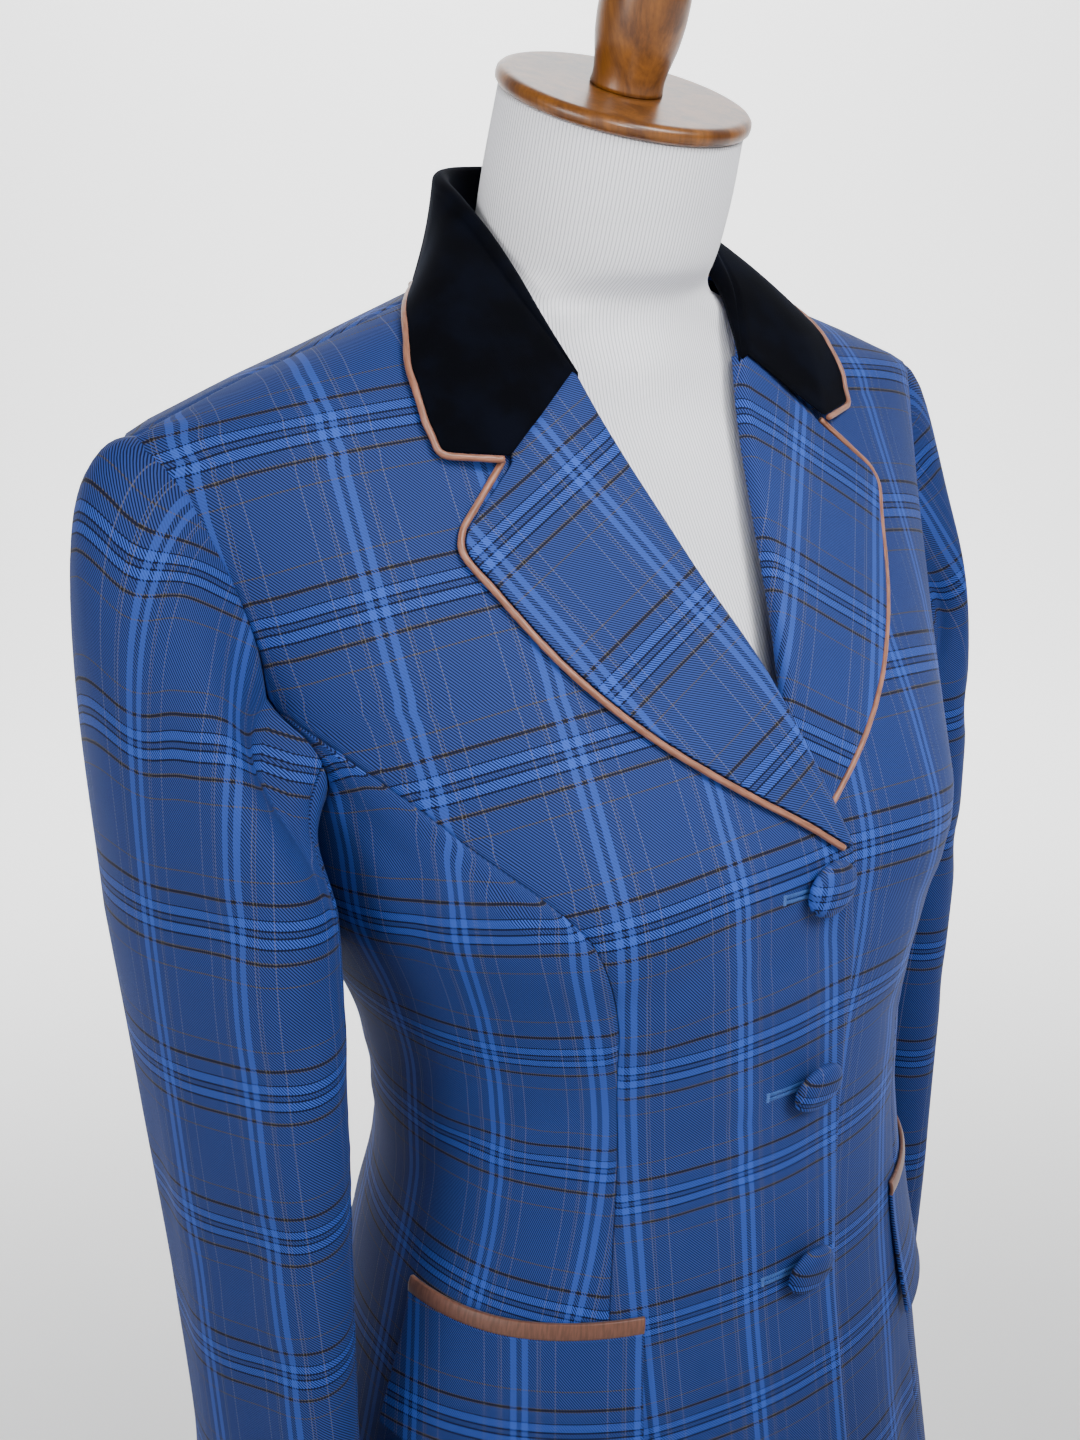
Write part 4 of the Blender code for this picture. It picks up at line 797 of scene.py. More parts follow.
def make_sleeve(side, material):
    """A sleeve in two pieces, the top sleeve over the outside of the arm and the under sleeve."""
    start, end = TOP_SLEEVE
    edges = np.array(SLEEVE_EDGES)
    pieces = (("top_sleeve", start, end, TOP_COLUMNS), ("under_sleeve", end, start + 360, UNDER_COLUMNS))
    for piece, low, high, count in pieces:
        low, high = low + SLEEVE_SEAM_TURN, high - SLEEVE_SEAM_TURN
        turns = np.concatenate([low + edges, np.linspace(low + 6, high - 6, count - 10), high - edges[::-1]])
        grid, before, after = (sleeve_grid(turns + nudge, side) for nudge in (0.0, -1.5, 1.5))
        normals = unit(np.cross(after - before, np.gradient(grid, axis=0)))
        row = len(grid) // 2
        middle = np.array([SLEEVE["centre_x"](BICEPS), SLEEVE["centre_y"](BICEPS), 0.0])
        outwards = (grid[row] - middle) * np.array([1.0, 1.0, 0.0])
        normals *= 1.0 if (normals[row] * outwards).sum() > 0 else -1.0
        from_seam = np.minimum(turns - low, high - turns) * SLEEVE_ARC
        down = np.concatenate([[0.0], np.cumsum(np.linalg.norm(np.diff(grid, axis=0), axis=2).mean(1))])
        sink = troughs(SLEEVE_CREASES, SLEEVE_ARC, turns[None, :], grid[..., 2], side)
        sink = sink * ease(down / 0.05)[:, None]
        sink = sink + seam_dip(from_seam[None, :], grid[..., 2]) + HEAD_SINK * hump(down, HEAD_SINK)[:, None]
        at_edge = np.maximum(hump(from_seam, ALLOWANCE_WIDE)[None, :], hump(down, 0.0014)[:, None])
        outer = grid - normals * sink[..., None]
        inner = outer - normals * (SHELL + ALLOWANCE * at_edge)[..., None]
        outer, inner = to_side(outer[::-1], side), to_side(inner[::-1], side)
        lay = set_grain(flat_lay(outer), int(np.argmin(np.abs(turns - 90.0))), 0, 70, side < 0)
        name = f"{piece}_{SIDE_NAMES[side]}"
        cloth_piece(name, outer, inner, lay, "hung", ["side_" + SIDE_NAMES[side]], material)


# Lapels, collar and piping

def lapel_face(side, share, across, below=0.0):
    """Points of the lapel's face, or of the face that lies below it."""
    fold_height = BREAK + 0.002 + (GORGE_TOP - BREAK - 0.002) * share
    fold_x, edge_x, edge_height = roll_line(fold_height), LAPEL["x"](share), LAPEL["height"](share)
    x = fold_x * (1 - across) + edge_x * across
    height = fold_height * (1 - across) + edge_height * across
    turns = turn_at(x, height)
    rise = LAPEL_REST + (LAPEL_RISE - LAPEL_REST) * ease((share - 0.2) / 0.3) * hump(across - 0.12, 0.30)
    width = np.maximum(np.hypot(edge_x - fold_x, edge_height - fold_height), 0.004)
    from_fold = np.clip(across * width / LAPEL_ROUND, 0.0, 1.0)
    round_fold = np.sqrt(np.clip(1 - (1 - from_fold) ** 2, 0.0, 1.0))
    off_skin = rise * round_fold + 0.0002 - below * (0.3 + 0.7 * round_fold)
    return moved_out(turns, height, front_lift(turns, height, side) + off_skin)


def under_collar(grid, across):
    """A lapel's face with a few rows more, that go on under the collar where the two are sewn."""
    upwards = unit(grid[-1] - grid[-2])
    sewn = 0.04 + 0.96 * ease((NOTCH_SHARE - across) / 0.08) * (0.02 + 0.98 * ease(across / 0.20))
    way = upwards + 0.45 * np.array([0.0, 0.35, -0.55])
    return np.concatenate([grid, [grid[-1] + sewn[:, None] * way * reach for reach in UNDER_REACHES]])


def make_lapel(side, cloth, satin):
    """A lapel, turned back from the front at the roll line, with its corded edge."""
    start = LEFT_LAPEL_START if side > 0 else 0.0
    share = np.linspace(start, 1.0, LAPEL_ROWS)[:, None]
    across = np.concatenate([FOLD_SHARES, np.linspace(0.095, 0.985, 34), [1.0]])
    outer, inner = (to_side(under_collar(lapel_face(side, share, across[None, :], below), across), side)
                    for below in (0.0, SHELL + 0.0003))
    lay = set_grain(flat_lay(outer), 6, 30, 90, side < 0)
    name = SIDE_NAMES[side]
    cloth_piece("lapel_" + name, outer, inner, lay, "folded", ["front_" + name], cloth)
    edge_x, edge_height = LAPEL["x"](share[:, 0]), LAPEL["height"](share[:, 0])
    top_x = edge_x[-1] + (NOTCH_X + 0.0003 - edge_x[-1]) * np.linspace(0.06, 1.0, 16)
    top_height = np.interp(top_x, [NOTCH_X, edge_x[-1]], [NOTCH_HEIGHT, edge_height[-1]])
    edge_x, edge_height = np.concatenate([edge_x, top_x]), np.concatenate([edge_height, top_height])
    turns = turn_at(edge_x, edge_height)
    off_skin = front_lift(turns, edge_height, side) + LAPEL_REST - WALL / 2
    piping_cord("lapel_piping_" + name, to_side(beside(turns, edge_height, off_skin), side), satin)


def beside(turns, heights, off_skin):
    """A line along an edge that lies on the skin, moved off the skin and away from the piece it edges."""
    points = moved_out(turns, heights, off_skin)
    away = unit(np.cross(np.gradient(points, axis=0), skin_normal(turns, heights)))
    return points + away * (PIPING + 2 * SEAM_GAP)


def softened(path, passes):
    """A path with its corners rounded, its ends kept."""
    for _ in range(passes):
        path = np.concatenate([path[:1], (path[:-2] + 2 * path[1:-1] + path[2:]) / 4, path[-1:]])
    return path


def round_angles(count):
    """Angles all the way round, evenly spaced."""
    return np.linspace(0.0, 2 * np.pi, count, endpoint=False)


def tube_rings(path, radius, sides):
    """Rings of points round a path, one radius for each point of it."""
    along = unit(np.gradient(path, axis=0))
    lead = unit(np.cross(along, UP))
    other = np.cross(along, lead)
    angles = round_angles(sides)[None, :, None]
    ring = np.cos(angles) * lead[:, None] + np.sin(angles) * other[:, None]
    return path[:, None] + ring * np.asarray(radius)[:, None, None]


def ring_quads(rows, count):
    """Point numbers of rings, one after the other, and the quads between them."""
    index = np.arange(rows * count).reshape(rows, count)
    return index, quads_of(np.concatenate([index, index[:, :1]], axis=1))


def closed_tube(name, rings, spots, material):
    """A closed body through rings of points. Each end is drawn together in a last small ring.

    Where a quad closes its ring, a whole width is added to the UV spots of its first points."""
    rings = np.asarray(rings)
    ends = [rings[k].mean(0) + (rings[k] - rings[k].mean(0)) * 0.02 for k in (0, -1)]
    rings = np.concatenate([[ends[0]], rings, [ends[1]]])
    spots = np.concatenate([spots[:1], spots, spots[-1:]])
    rows, count = rings.shape[:2]
    index, quads = ring_quads(rows, count)
    corners = np.concatenate([quads.ravel(), index[0], index[-1]])
    closing = np.zeros(len(corners), bool)
    closing[:quads.size] = np.repeat(np.ptp(quads % count, axis=1) > count / 2, 4)
    wraps = closing & (corners % count == 0)
    width = np.ptp(spots[:, :, 0], axis=1) * count / (count - 1)
    flat = spots.reshape(-1, 2)[corners]
    flat[wraps, 0] += width[corners[wraps] // count]
    faces = quads.tolist() + [index[0].tolist(), index[-1].tolist()]
    return mesh_object(name, rings.reshape(-1, 3), faces, flat, material)


def tube_spots(rings):
    """Metres round and along a tube, for its UV map."""
    along = lengths_along(np.asarray(rings).mean(axis=1))
    ring = np.asarray(rings[len(rings) // 2])
    step = np.linalg.norm(np.diff(ring, axis=0), axis=1).mean()
    across = np.arange(len(ring)) * step
    return np.stack(np.broadcast_arrays(across[None, :], along[:, None]), -1)


def piping_cord(name, path, satin):
    """A satin cord along an edge, its bias strip drawn a little unevenly over the core."""
    along = lengths_along(path)
    even = np.linspace(0.0, along[-1], max(40, int(along[-1] / PIPING_STEP)))
    path = softened(np.stack([np.interp(even, along, path[:, k]) for k in range(3)], -1), 3)
    radius = PIPING * (1 + 0.035 * np.sin(even * 1500) * np.sin(even * 263 + 1.0) + 0.03 * np.sin(even * 410))
    rings = tube_rings(path, radius, PIPING_SIDES)
    return place(closed_tube(name + "_satin", rings, tube_spots(rings), satin), "piping", name)


def collar_face(steps, falls):
    """Half of the collar's outer face, from the gorge to the centre back, on the left side.

    Its columns run from the foot of the stand, up the inside, over the fold and down to the edge."""
    share = np.linspace(0.0, 1.0, steps)
    fold = np.stack([COLLAR[k](share) for k in ("fold_x", "fold_y", "fold_height")], -1)
    edge_turn, edge_height = COLLAR["edge_turn"](share), COLLAR["edge_height"](share)
    edge = moved_out(edge_turn, edge_height, np.full(steps, COLLAR_REST))
    out = unit(fold * [1.0, 1.0, 0.0] - [0.0, -0.022, 0.0])
    over = skin_normal(edge_turn, edge_height)
    stand, bulge = COLLAR["stand"](share)[:, None], COLLAR["bulge"](share)[:, None]
    round_off = (FOLD_RADIUS * (0.25 + 0.75 * ease(share / 0.2)))[:, None]
    inside = fold - out * round_off
    columns = [inside - UP * (round_off + (stand - round_off) * t) for t in (1.0, 0.97, 0.8, 0.55, 0.3, 0.12)]
    for angle in np.radians(np.linspace(-90.0, 90.0, 13)):
        columns.append(fold + out * round_off * math.sin(angle) - UP * round_off * (1 - math.cos(angle)))
    top = fold + out * round_off - UP * round_off
    for fall in falls:
        straight = top + (edge - top) * fall + over * bulge * np.sin(np.pi * fall)
        past = max(0.0, (fall - NOTCH_SHARE) / (1 - NOTCH_SHARE))
        stops = [0.0, NOTCH_SHARE, 1.0]
        x = np.interp(fall, stops, [fold[0, 0] + 0.0008, NOTCH_X, edge[0, 0]])
        height = np.interp(fall, stops, [fold[0, 2] - 0.0014, NOTCH_HEIGHT, edge[0, 2]])
        height = height + COLLAR_SEAT * (1 - past)
        on_lapel = LAPEL_RISE * min(1.0, 0.75 + fall / 0.10) * (1 - past)
        seat = COLLAR_SEAT + on_lapel + (COLLAR_REST - COLLAR_SEAT) * past
        end = moved_out(turn_at(x, height), height, seat)
        columns.append(straight + (end - straight[0]) * (1 - ease(share / 0.30))[:, None])
    return np.stack(columns, 1)


def make_collar(velvet, satin):
    """The velvet collar, stand and fall in one, and the piping round its edge."""
    falls = np.concatenate([np.linspace(0.03, 0.97, 26), [0.985, 1.0]])
    half = collar_face(COLLAR_ROWS, falls)
    grid = np.concatenate([to_side(half, -1), half[::-1][1:]])
    normals = np.cross(np.gradient(grid, axis=1), np.gradient(grid, axis=0))
    normals /= np.maximum(np.linalg.norm(normals, axis=-1, keepdims=True), 1e-12)
    from_end = np.minimum(np.arange(len(grid)), np.arange(len(grid))[::-1]) / len(half)
    thick = (COLLAR_WALL - 0.0004) * (0.35 + 0.65 * ease(from_end / 0.10))
    inner = grid + normals * thick[:, None, None]
    down, along = lengths_along(grid[len(grid) // 2]), lengths_along(grid[:, FOLD_END_COLUMN])
    lay = np.stack(np.broadcast_arrays(down[None, :], along[:, None]), -1)
    collar = place(shell("collar_velvet", grid, inner, lay, velvet), "velvet", "collar")
    first = half.shape[1] - len(falls) + int(np.searchsorted(falls, NOTCH_SHARE + 0.04))
    away = unit(np.concatenate([half[0, first:-1] - half[2, first:-1], half[:, -1] - half[:, -3]]))
    half_edge = np.concatenate([half[0, first:-1], half[:, -1]]) + away * PIPING - [0.0, 0.0, 0.0006]
    piping_cord("collar_piping", np.concatenate([to_side(half_edge, -1), half_edge[::-1][1:]]), satin)


# Pockets, buttons and buttonholes

def make_pocket(side, cloth, satin):
    """A hip pocket: a satin welt and, under it, a flap that stands off a little at the bottom."""
    ends = [0.0, 0.006, 0.015, 0.03], [0.97, 0.985, 0.994, 1.0]
    share = np.concatenate([ends[0], np.linspace(0.05, 0.95, 38), ends[1]])
    turns, line = POCKET["turn"](share), POCKET["height"](share)
    rests_on = ["front_" + SIDE_NAMES[side]]

    def band(top, bottom, down, thick, flare, sag, grain):
        height = line[None, :] - top - (bottom - top) * down[:, None]
        turn = np.broadcast_to(turns, height.shape)
        off = CLEAR + thick + flare * down[:, None] ** 1.6 * (0.6 + 0.4 * share[None, :])
        off = off + sag * np.sin(np.pi * down)[:, None] * np.ones_like(height)
        outer, inner = (face[::-1] for face in both_faces(turn, height, off, thick, side))
        return outer, inner, set_grain(flat_lay(outer), grain, 0, len(down) - 1, side < 0)

    welt_down = np.array([0.0, 0.05, 0.16, 0.35, 0.65, 0.84, 0.95, 1.0])
    welt = band(0.0, WELT_TALL, welt_down, WELT_WALL - 0.0006, 0.0, 0.0006, 22)
    cloth_piece("pocket_welt_" + SIDE_NAMES[side], *welt, "laid", rests_on, satin, "piping")
    flap_down = np.concatenate([[0.0, 0.012, 0.03], np.linspace(0.06, 0.94, 24), [0.965, 0.985, 1.0]])
    flap = band(WELT_TALL + SEAM_GAP, WELT_TALL + FLAP_TALL, flap_down, SHELL + 0.0003, FLAP_FLARE, 0.0, 6)
    cloth_piece("pocket_flap_" + SIDE_NAMES[side], *flap, "hung", rests_on, cloth)


def front_seat(height):
    """A point on the right front at the centre line, on its flat facets, and the way out from it there."""
    up_to_break = np.linspace(HEM, BREAK, FRONT_ROWS_LOW + 1)
    rows = np.concatenate([up_to_break, np.linspace(BREAK, JOIN, FRONT_ROWS_CHEST + 1)[1:]])
    above = int(np.searchsorted(rows, height))
    low, high = (moved_out(0.0, h, front_lift(0.0, h, -1)) for h in rows[above - 1:above + 1])
    share = (height - low[2]) / (high[2] - low[2])
    return low + (high - low) * share, unit(np.cross(ACROSS, high - low))


def turned_rings(profile, segments, foot, axis):
    """Rings of a turned shape: radius and height pairs, standing on foot along axis."""
    axis = unit(np.asarray(axis, float))
    lead = unit(np.cross(axis, ACROSS))
    angles = round_angles(segments)[:, None]
    circle = np.cos(angles) * lead + np.sin(angles) * np.cross(axis, lead)
    return np.array([np.asarray(foot) + axis * high + circle * radius for radius, high in profile])


def finer_profile(profile, per_step):
    """A turned profile with softened steps in between."""
    points = np.array(profile)
    along = lengths_along(points)
    places = np.linspace(0.0, along[-1], per_step * (len(points) - 1) + 1)
    return np.stack([smooth(along, points[:, k])(places) for k in range(2)], -1)


def make_buttons(cloth):
    """Domed buttons covered with the coat's cloth, gathered a little at the rim."""
    profile = finer_profile(BUTTON_PROFILE, 3)
    around = round_angles(BUTTON_SEGMENTS)
    for number, (height, droop) in enumerate(zip(BUTTON_HEIGHTS, BUTTON_DROOP), 1):
        seat, out = front_seat(height)
        tip = math.radians(droop)
        axis = out * math.cos(tip) - UP * math.sin(tip)
        foot = seat + out * (CLEAR + 0.0040 * math.sin(tip))
        rings = turned_rings(profile, BUTTON_SEGMENTS, foot, axis)
        at_rim = hump(profile[:, 1] - 0.0028, 0.0012)[:, None]
        ripple = 0.00016 * at_rim * np.sin(26 * around + 2 * np.sin(3 * around + number))[None, :]
        rings = rings + unit(rings - rings.mean(axis=1, keepdims=True)) * ripple[..., None]
        spot = rings - foot
        lay = np.stack([spot @ ACROSS, spot @ np.cross(axis, ACROSS)], -1)
        lay = turned_lay(lay, math.radians(4 * number)) + [0.0225 + 0.011 * number, 0.0285 + 0.004 * number]
        points = np.concatenate([rings.reshape(-1, 3), [foot + axis * BUTTON_TALL], [foot]])
        index, quads = ring_quads(len(rings), BUTTON_SEGMENTS)
        after = np.roll(index, -1, axis=1)
        top, bottom = len(points) - 2, len(points) - 1
        faces = quads.tolist()
        faces += [[a, b, top] for a, b in zip(index[-1].tolist(), after[-1].tolist())]
        faces += [[b, a, bottom] for a, b in zip(index[0].tolist(), after[0].tolist())]
        spots = np.concatenate([lay.reshape(-1, 2), [lay[-1].mean(0)], [lay[0].mean(0)]])
        button = mesh_object(f"button_{number}_cloth", points, faces, spots[np.concatenate(faces)], cloth)
        place(button, "checked_cloth", f"button_{number}")


def node_in(tree, kind, inputs=None, **settings):
    """A new node with its settings and its inputs."""
    made = tree.nodes.new(kind)
    for name, value in settings.items():
        setattr(made, name, value)
    return feed(tree, made, inputs or {})


def feed(tree, node, inputs):
    """Fills a node's inputs, each by its name or place: a socket is linked, and a value is put in."""
    for key, value in inputs.items():
        socket = node.inputs[key]
        if isinstance(value, bpy.types.NodeSocket):
            tree.links.new(value, socket)
        elif socket.type == "RGBA":
            socket.default_value = (*value, 1.0)
        else:
            socket.default_value = value
    return node


def stitch_tree():
    """Geometry nodes that lay one short thread on each point, across it and flat on the cloth."""
    tree = bpy.data.node_groups.new("worked stitches", "GeometryNodeTree")
    for name, kind in (("Geometry", "Geometry"), ("Stitch Length", "Float"), ("Thread Radius", "Float"),
                       ("Thread", "Material")):
        tree.interface.new_socket(name, in_out="INPUT", socket_type="NodeSocket" + kind)
    tree.interface.new_socket("Geometry", in_out="OUTPUT", socket_type="NodeSocketGeometry")
    start, end = tree.nodes.new("NodeGroupInput").outputs, tree.nodes.new("NodeGroupOutput")
    thread = node_in(tree, "GeometryNodeMeshUVSphere", {"Segments": 8, "Rings": 6, "Radius": 1.0})
    half, radius = sum_of(tree, "MULTIPLY", start["Stitch Length"], 0.5), start["Thread Radius"]
    size = node_in(tree, "ShaderNodeCombineXYZ", {"X": half, "Y": radius, "Z": radius})
    named = [node_in(tree, "GeometryNodeInputNamedAttribute", {"Name": name}, data_type="FLOAT_VECTOR")
             for name in ("across", "outward")]
    ways = {number: way.outputs["Attribute"] for number, way in enumerate(named)}
    rotation = node_in(tree, "FunctionNodeAxesToRotation", ways, primary_axis="X", secondary_axis="Z")
    range_of = {0: (0.86, 0.85, 0.85), 1: (1.10, 1.12, 1.12), "Seed": 7}
    uneven = node_in(tree, "FunctionNodeRandomValue", range_of, data_type="FLOAT_VECTOR")
    sizes = {0: size.outputs[0], 1: uneven.outputs[0]}
    scale = node_in(tree, "ShaderNodeVectorMath", sizes, operation="MULTIPLY")
    laid = node_in(tree, "GeometryNodeInstanceOnPoints", {
        "Points": start["Geometry"], "Instance": thread.outputs["Mesh"],
        "Rotation": rotation.outputs[0], "Scale": scale.outputs[0],
    })
    real = node_in(tree, "GeometryNodeRealizeInstances", {0: laid.outputs[0]})
    even = node_in(tree, "GeometryNodeSetShadeSmooth", {0: real.outputs[0]})
    dyed = {"Geometry": even.outputs[0], "Material": start["Thread"]}
    finish = node_in(tree, "GeometryNodeSetMaterial", dyed)
    feed(tree, end, {0: finish.outputs[0]})
    return tree


def stitched(name, tree, points, across, outward, thread):
    """A piece of threads laid on the points by the tree, as a plain mesh."""
    mesh = bpy.data.meshes.new(name + "_points")
    mesh.from_pydata(points.tolist(), [], [])
    for label, value in (("across", across), ("outward", outward)):
        mesh.attributes.new(label, "FLOAT_VECTOR", "POINT").data.foreach_set("vector", value.ravel())
    holder = new_object(name + "_points", mesh)
    modifier = holder.modifiers.new("stitches", "NODES")
    modifier.node_group = tree
    sockets = {item.name: item.identifier for item in tree.interface.items_tree if item.in_out == "INPUT"}
    sizes = {"Stitch Length": STITCH_LENGTH, "Thread Radius": THREAD_RADIUS, "Thread": thread}
    for label, value in sizes.items():
        modifier[sockets[label]] = value
    bpy.context.view_layer.update()
    whole = bpy.data.meshes.new_from_object(holder.evaluated_get(bpy.context.evaluated_depsgraph_get()))
    bpy.data.objects.remove(holder)
    whole.name = name
    thing = new_object(name, whole)
    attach(thing, "root")


def on_right_front(spots):
    """Where stitches at those distances from the centre line and heights lie on the right front."""
    x, height = spots.T
    turns = turn_at(x, height)
    sink = troughs(CREASES, CREASE_ARC, turns, height, -1)
    return to_side(moved_out(turns, height, front_lift(turns, height, -1) - sink + STITCH_OFF), -1)


def make_buttonholes(thread):
    """Worked buttonholes on the right front: two rows of stitches along the slit and a bar at its end."""
    tree = stitch_tree()
    for number, button_height in enumerate(BUTTON_HEIGHTS, 1):
        height = button_height - 0.0010
        x = np.arange(0.0, HOLE_LONG, STITCH_PITCH)
        bar = np.arange(-0.0020, 0.0021, STITCH_PITCH)
        rows = [(x, np.full(len(x), height + row * HOLE_SLIT), [0.08 * row, 1.0]) for row in (-1, 1)]
        rows.append((np.full(len(bar), HOLE_LONG + 0.0004), height + bar, [1.0, 0.05]))
        spots = np.concatenate([np.stack([across, up], 1) for across, up, _ in rows])
        ways = np.concatenate([np.tile(way, (len(across), 1)) for across, _, way in rows])
        across = on_right_front(spots + ways * 0.0004) - on_right_front(spots - ways * 0.0004)
        outward = to_side(skin_normal(turn_at(spots[:, 0], spots[:, 1]), spots[:, 1]), -1)
        stitched(f"buttonhole_{number}", tree, on_right_front(spots), across, outward, thread)


# The dress form and its stand

def form_rings(heights, segments):
    """Rings of the form's torso and neck."""
    angles = round_angles(segments)
    cos, sin = np.cos(angles), np.sin(angles)
    rings = []
    for height in heights:
        size = {name: float(at(height)) for name, at in FORM.items()}
        x = size["half_width"] * sin
        depth = np.where(cos >= 0, size["front"] + size["centre_y"], size["back"] - size["centre_y"])
        throat = hump(x, THROAT_WIDE) * hump(height - THROAT_HEIGHT, THROAT_TALL)
        back_and_forth = -depth * cos - THROAT_RISE * throat * (cos > 0)
        tilt = math.radians(size["tilt"])
        y = size["centre_y"] + back_and_forth * math.cos(tilt)
        rings.append(np.stack([x, y, height + back_and_forth * math.sin(tilt)], -1))
    return np.array(rings)


def make_form(cover, cap_wood, stand_wood):
    """The form's cover, its cap and finial, the pole and the base."""
    heights = np.concatenate([np.linspace(0.245, 0.79, 60), np.linspace(0.796, 0.9143, 44)])
    half = FORM_SEGMENTS // 2
    rings = np.roll(form_rings(heights, FORM_SEGMENTS), half, axis=1)
    around = np.array([lengths_along(ring) for ring in rings])
    around = around - around[:, half:half + 1]
    spots = np.stack(np.broadcast_arrays(around, heights[:, None]), -1)
    place(closed_tube("form_cover", rings, spots, cover), "form_cover", "form_torso")
    tilt = math.radians(CAP_TILT)
    axis = np.array([0.0, -math.sin(tilt), math.cos(tilt)])
    top = np.array([0.0, CAP_CENTRE_Y, CAP_HEIGHT])
    pole_profile = [(POLE_RADIUS, height) for height in POLE_HEIGHTS]
    turned_pieces = (
        ("neck_cap", CAP_PROFILE, 3, top - axis * CAP_THICK, axis, cap_wood),
        ("finial", FINIAL_PROFILE, 3, top + axis * SEAM_GAP, axis, cap_wood),
        ("pole", pole_profile, 4, np.zeros(3), UP, stand_wood),
        ("base", BASE_PROFILE, 3, np.zeros(3), UP, stand_wood),
    )
    for name, profile, finer, foot, way, wood in turned_pieces:
        rings = turned_rings(finer_profile(profile, finer), 96, foot, way)
        place(closed_tube(name + "_wood", rings, tube_spots(rings), wood), "wood", name)


# Materials

def new_material(name):
    """A material, its node tree and its Principled shader."""
    material = bpy.data.materials.new(name)
    material.use_nodes = True
    return material, material.node_tree, material.node_tree.nodes["Principled BSDF"]


def new_group(name, inputs, outputs):
    """A shader node group with its named sockets, and its two end nodes."""
    tree = bpy.data.node_groups.new(name, "ShaderNodeTree")
    for label, kind, default in inputs:
        socket = tree.interface.new_socket(label, in_out="INPUT", socket_type=kind)
        if default is not None:
            socket.default_value = default
    for label, kind in outputs:
        tree.interface.new_socket(label, in_out="OUTPUT", socket_type=kind)
    return tree, tree.nodes.new("NodeGroupInput"), tree.nodes.new("NodeGroupOutput")


def sum_of(tree, kind, first, second=None):
    """A math node of that kind on two sockets or numbers."""
    inputs = {number: value for number, value in enumerate((first, second)) if value is not None}
    return node_in(tree, "ShaderNodeMath", inputs, operation=kind).outputs[0]


def yarn_ramp(tree, place_socket, repeat, yarns):
    """The colour of the yarn at a place across the cloth, in metres."""
    share = sum_of(tree, "FRACT", sum_of(tree, "MULTIPLY", place_socket, 1000.0 / repeat))
    ramp = node_in(tree, "ShaderNodeValToRGB", {"Fac": share})
    ramp.color_ramp.interpolation = "CONSTANT"
    elements = ramp.color_ramp.elements
    while len(elements) > 1:
        elements.remove(elements[-1])
    for number, (start, yarn) in enumerate(yarns):
        element = elements[0] if number == 0 else elements.new(start / repeat)
        element.position = start / repeat
        element.color = (*YARNS[yarn], 1.0)
    return ramp.outputs["Color"]


def check_group():
    """The woven check: warp and weft yarns that change places along the twill lines."""
    tree, start, end = new_group(
        "woven check",
        [("Lay", "NodeSocketVector", None), ("Twill Across", "NodeSocketFloat", TWILL_ACROSS),
         ("Twill Up", "NodeSocketFloat", TWILL_UP), ("Uneven", "NodeSocketFloat", 0.10)],
        [("Color", "NodeSocketColor"), ("Height", "NodeSocketFloat")],
    )
    lay = start.outputs["Lay"]
    parts = node_in(tree, "ShaderNodeSeparateXYZ", {0: lay}).outputs
    across, up = parts["X"], parts["Y"]
    warp = yarn_ramp(tree, across, WARP_REPEAT, WARP_YARNS)
    weft = yarn_ramp(tree, up, WEFT_REPEAT, WEFT_YARNS)
    lines = [sum_of(tree, "DIVIDE", sum_of(tree, "MULTIPLY", way, 1000.0), start.outputs[pitch])
             for way, pitch in ((across, "Twill Across"), (up, "Twill Up"))]
    wave = sum_of(tree, "PINGPONG", sum_of(tree, "ADD", *lines), 0.5)
    colour, on_top = two_colours(tree, wave, 0.13, 0.37, warp, weft)
    slub, cloud = noise_at(tree, lay, 900.0, 2.0), noise_at(tree, lay, 14.0, 2.0)
    both = sum_of(tree, "ADD", sum_of(tree, "SUBTRACT", slub, 0.5), sum_of(tree, "SUBTRACT", cloud, 0.5))
    value = sum_of(tree, "ADD", 1.0, sum_of(tree, "MULTIPLY", both, start.outputs["Uneven"]))
    shade = node_in(tree, "ShaderNodeHueSaturation", {"Value": value, "Color": colour})
    ridge = sum_of(tree, "ABSOLUTE", sum_of(tree, "SUBTRACT", on_top, 0.5))
    height = sum_of(tree, "ADD", ridge, sum_of(tree, "MULTIPLY", slub, 0.5))
    feed(tree, end, {"Color": shade.outputs[0], "Height": height})
    return tree


def grain_group():
    """Turned wood: long grain streaks and pores."""
    tree, start, end = new_group(
        "wood grain",
        [("Vector", "NodeSocketVector", None), ("Dark", "NodeSocketColor", None),
         ("Light", "NodeSocketColor", None)],
        [("Color", "NodeSocketColor"), ("Mask", "NodeSocketFloat")],
    )
    where = start.outputs["Vector"]
    streak = noise_at(tree, where, 1.0, 6.0, (90.0, 90.0, 9.0), 0.62, 0.6)
    pore = noise_at(tree, where, 1.0, 2.0, (900.0, 900.0, 60.0))
    both = sum_of(tree, "ADD", sum_of(tree, "MULTIPLY", streak, 0.8), sum_of(tree, "MULTIPLY", pore, 0.2))
    colour, mask = two_colours(tree, both, 0.30, 0.72, start.outputs["Dark"], start.outputs["Light"])
    feed(tree, end, {"Color": colour, "Mask": mask})
    return tree


def bumped(tree, height, strength, distance, shader):
    """A height that stands out on the shader's surface."""
    inputs = {"Strength": strength, "Distance": distance, "Height": height}
    feed(tree, shader, {"Normal": node_in(tree, "ShaderNodeBump", inputs).outputs[0]})


def flat_lay_of(tree):
    """The UV map of a piece laid flat."""
    return node_in(tree, "ShaderNodeUVMap", uv_map="flat_lay").outputs[0]


def spot_of(tree):
    """Where a point is, in metres."""
    return tree.nodes.new("ShaderNodeTexCoord").outputs["Object"]


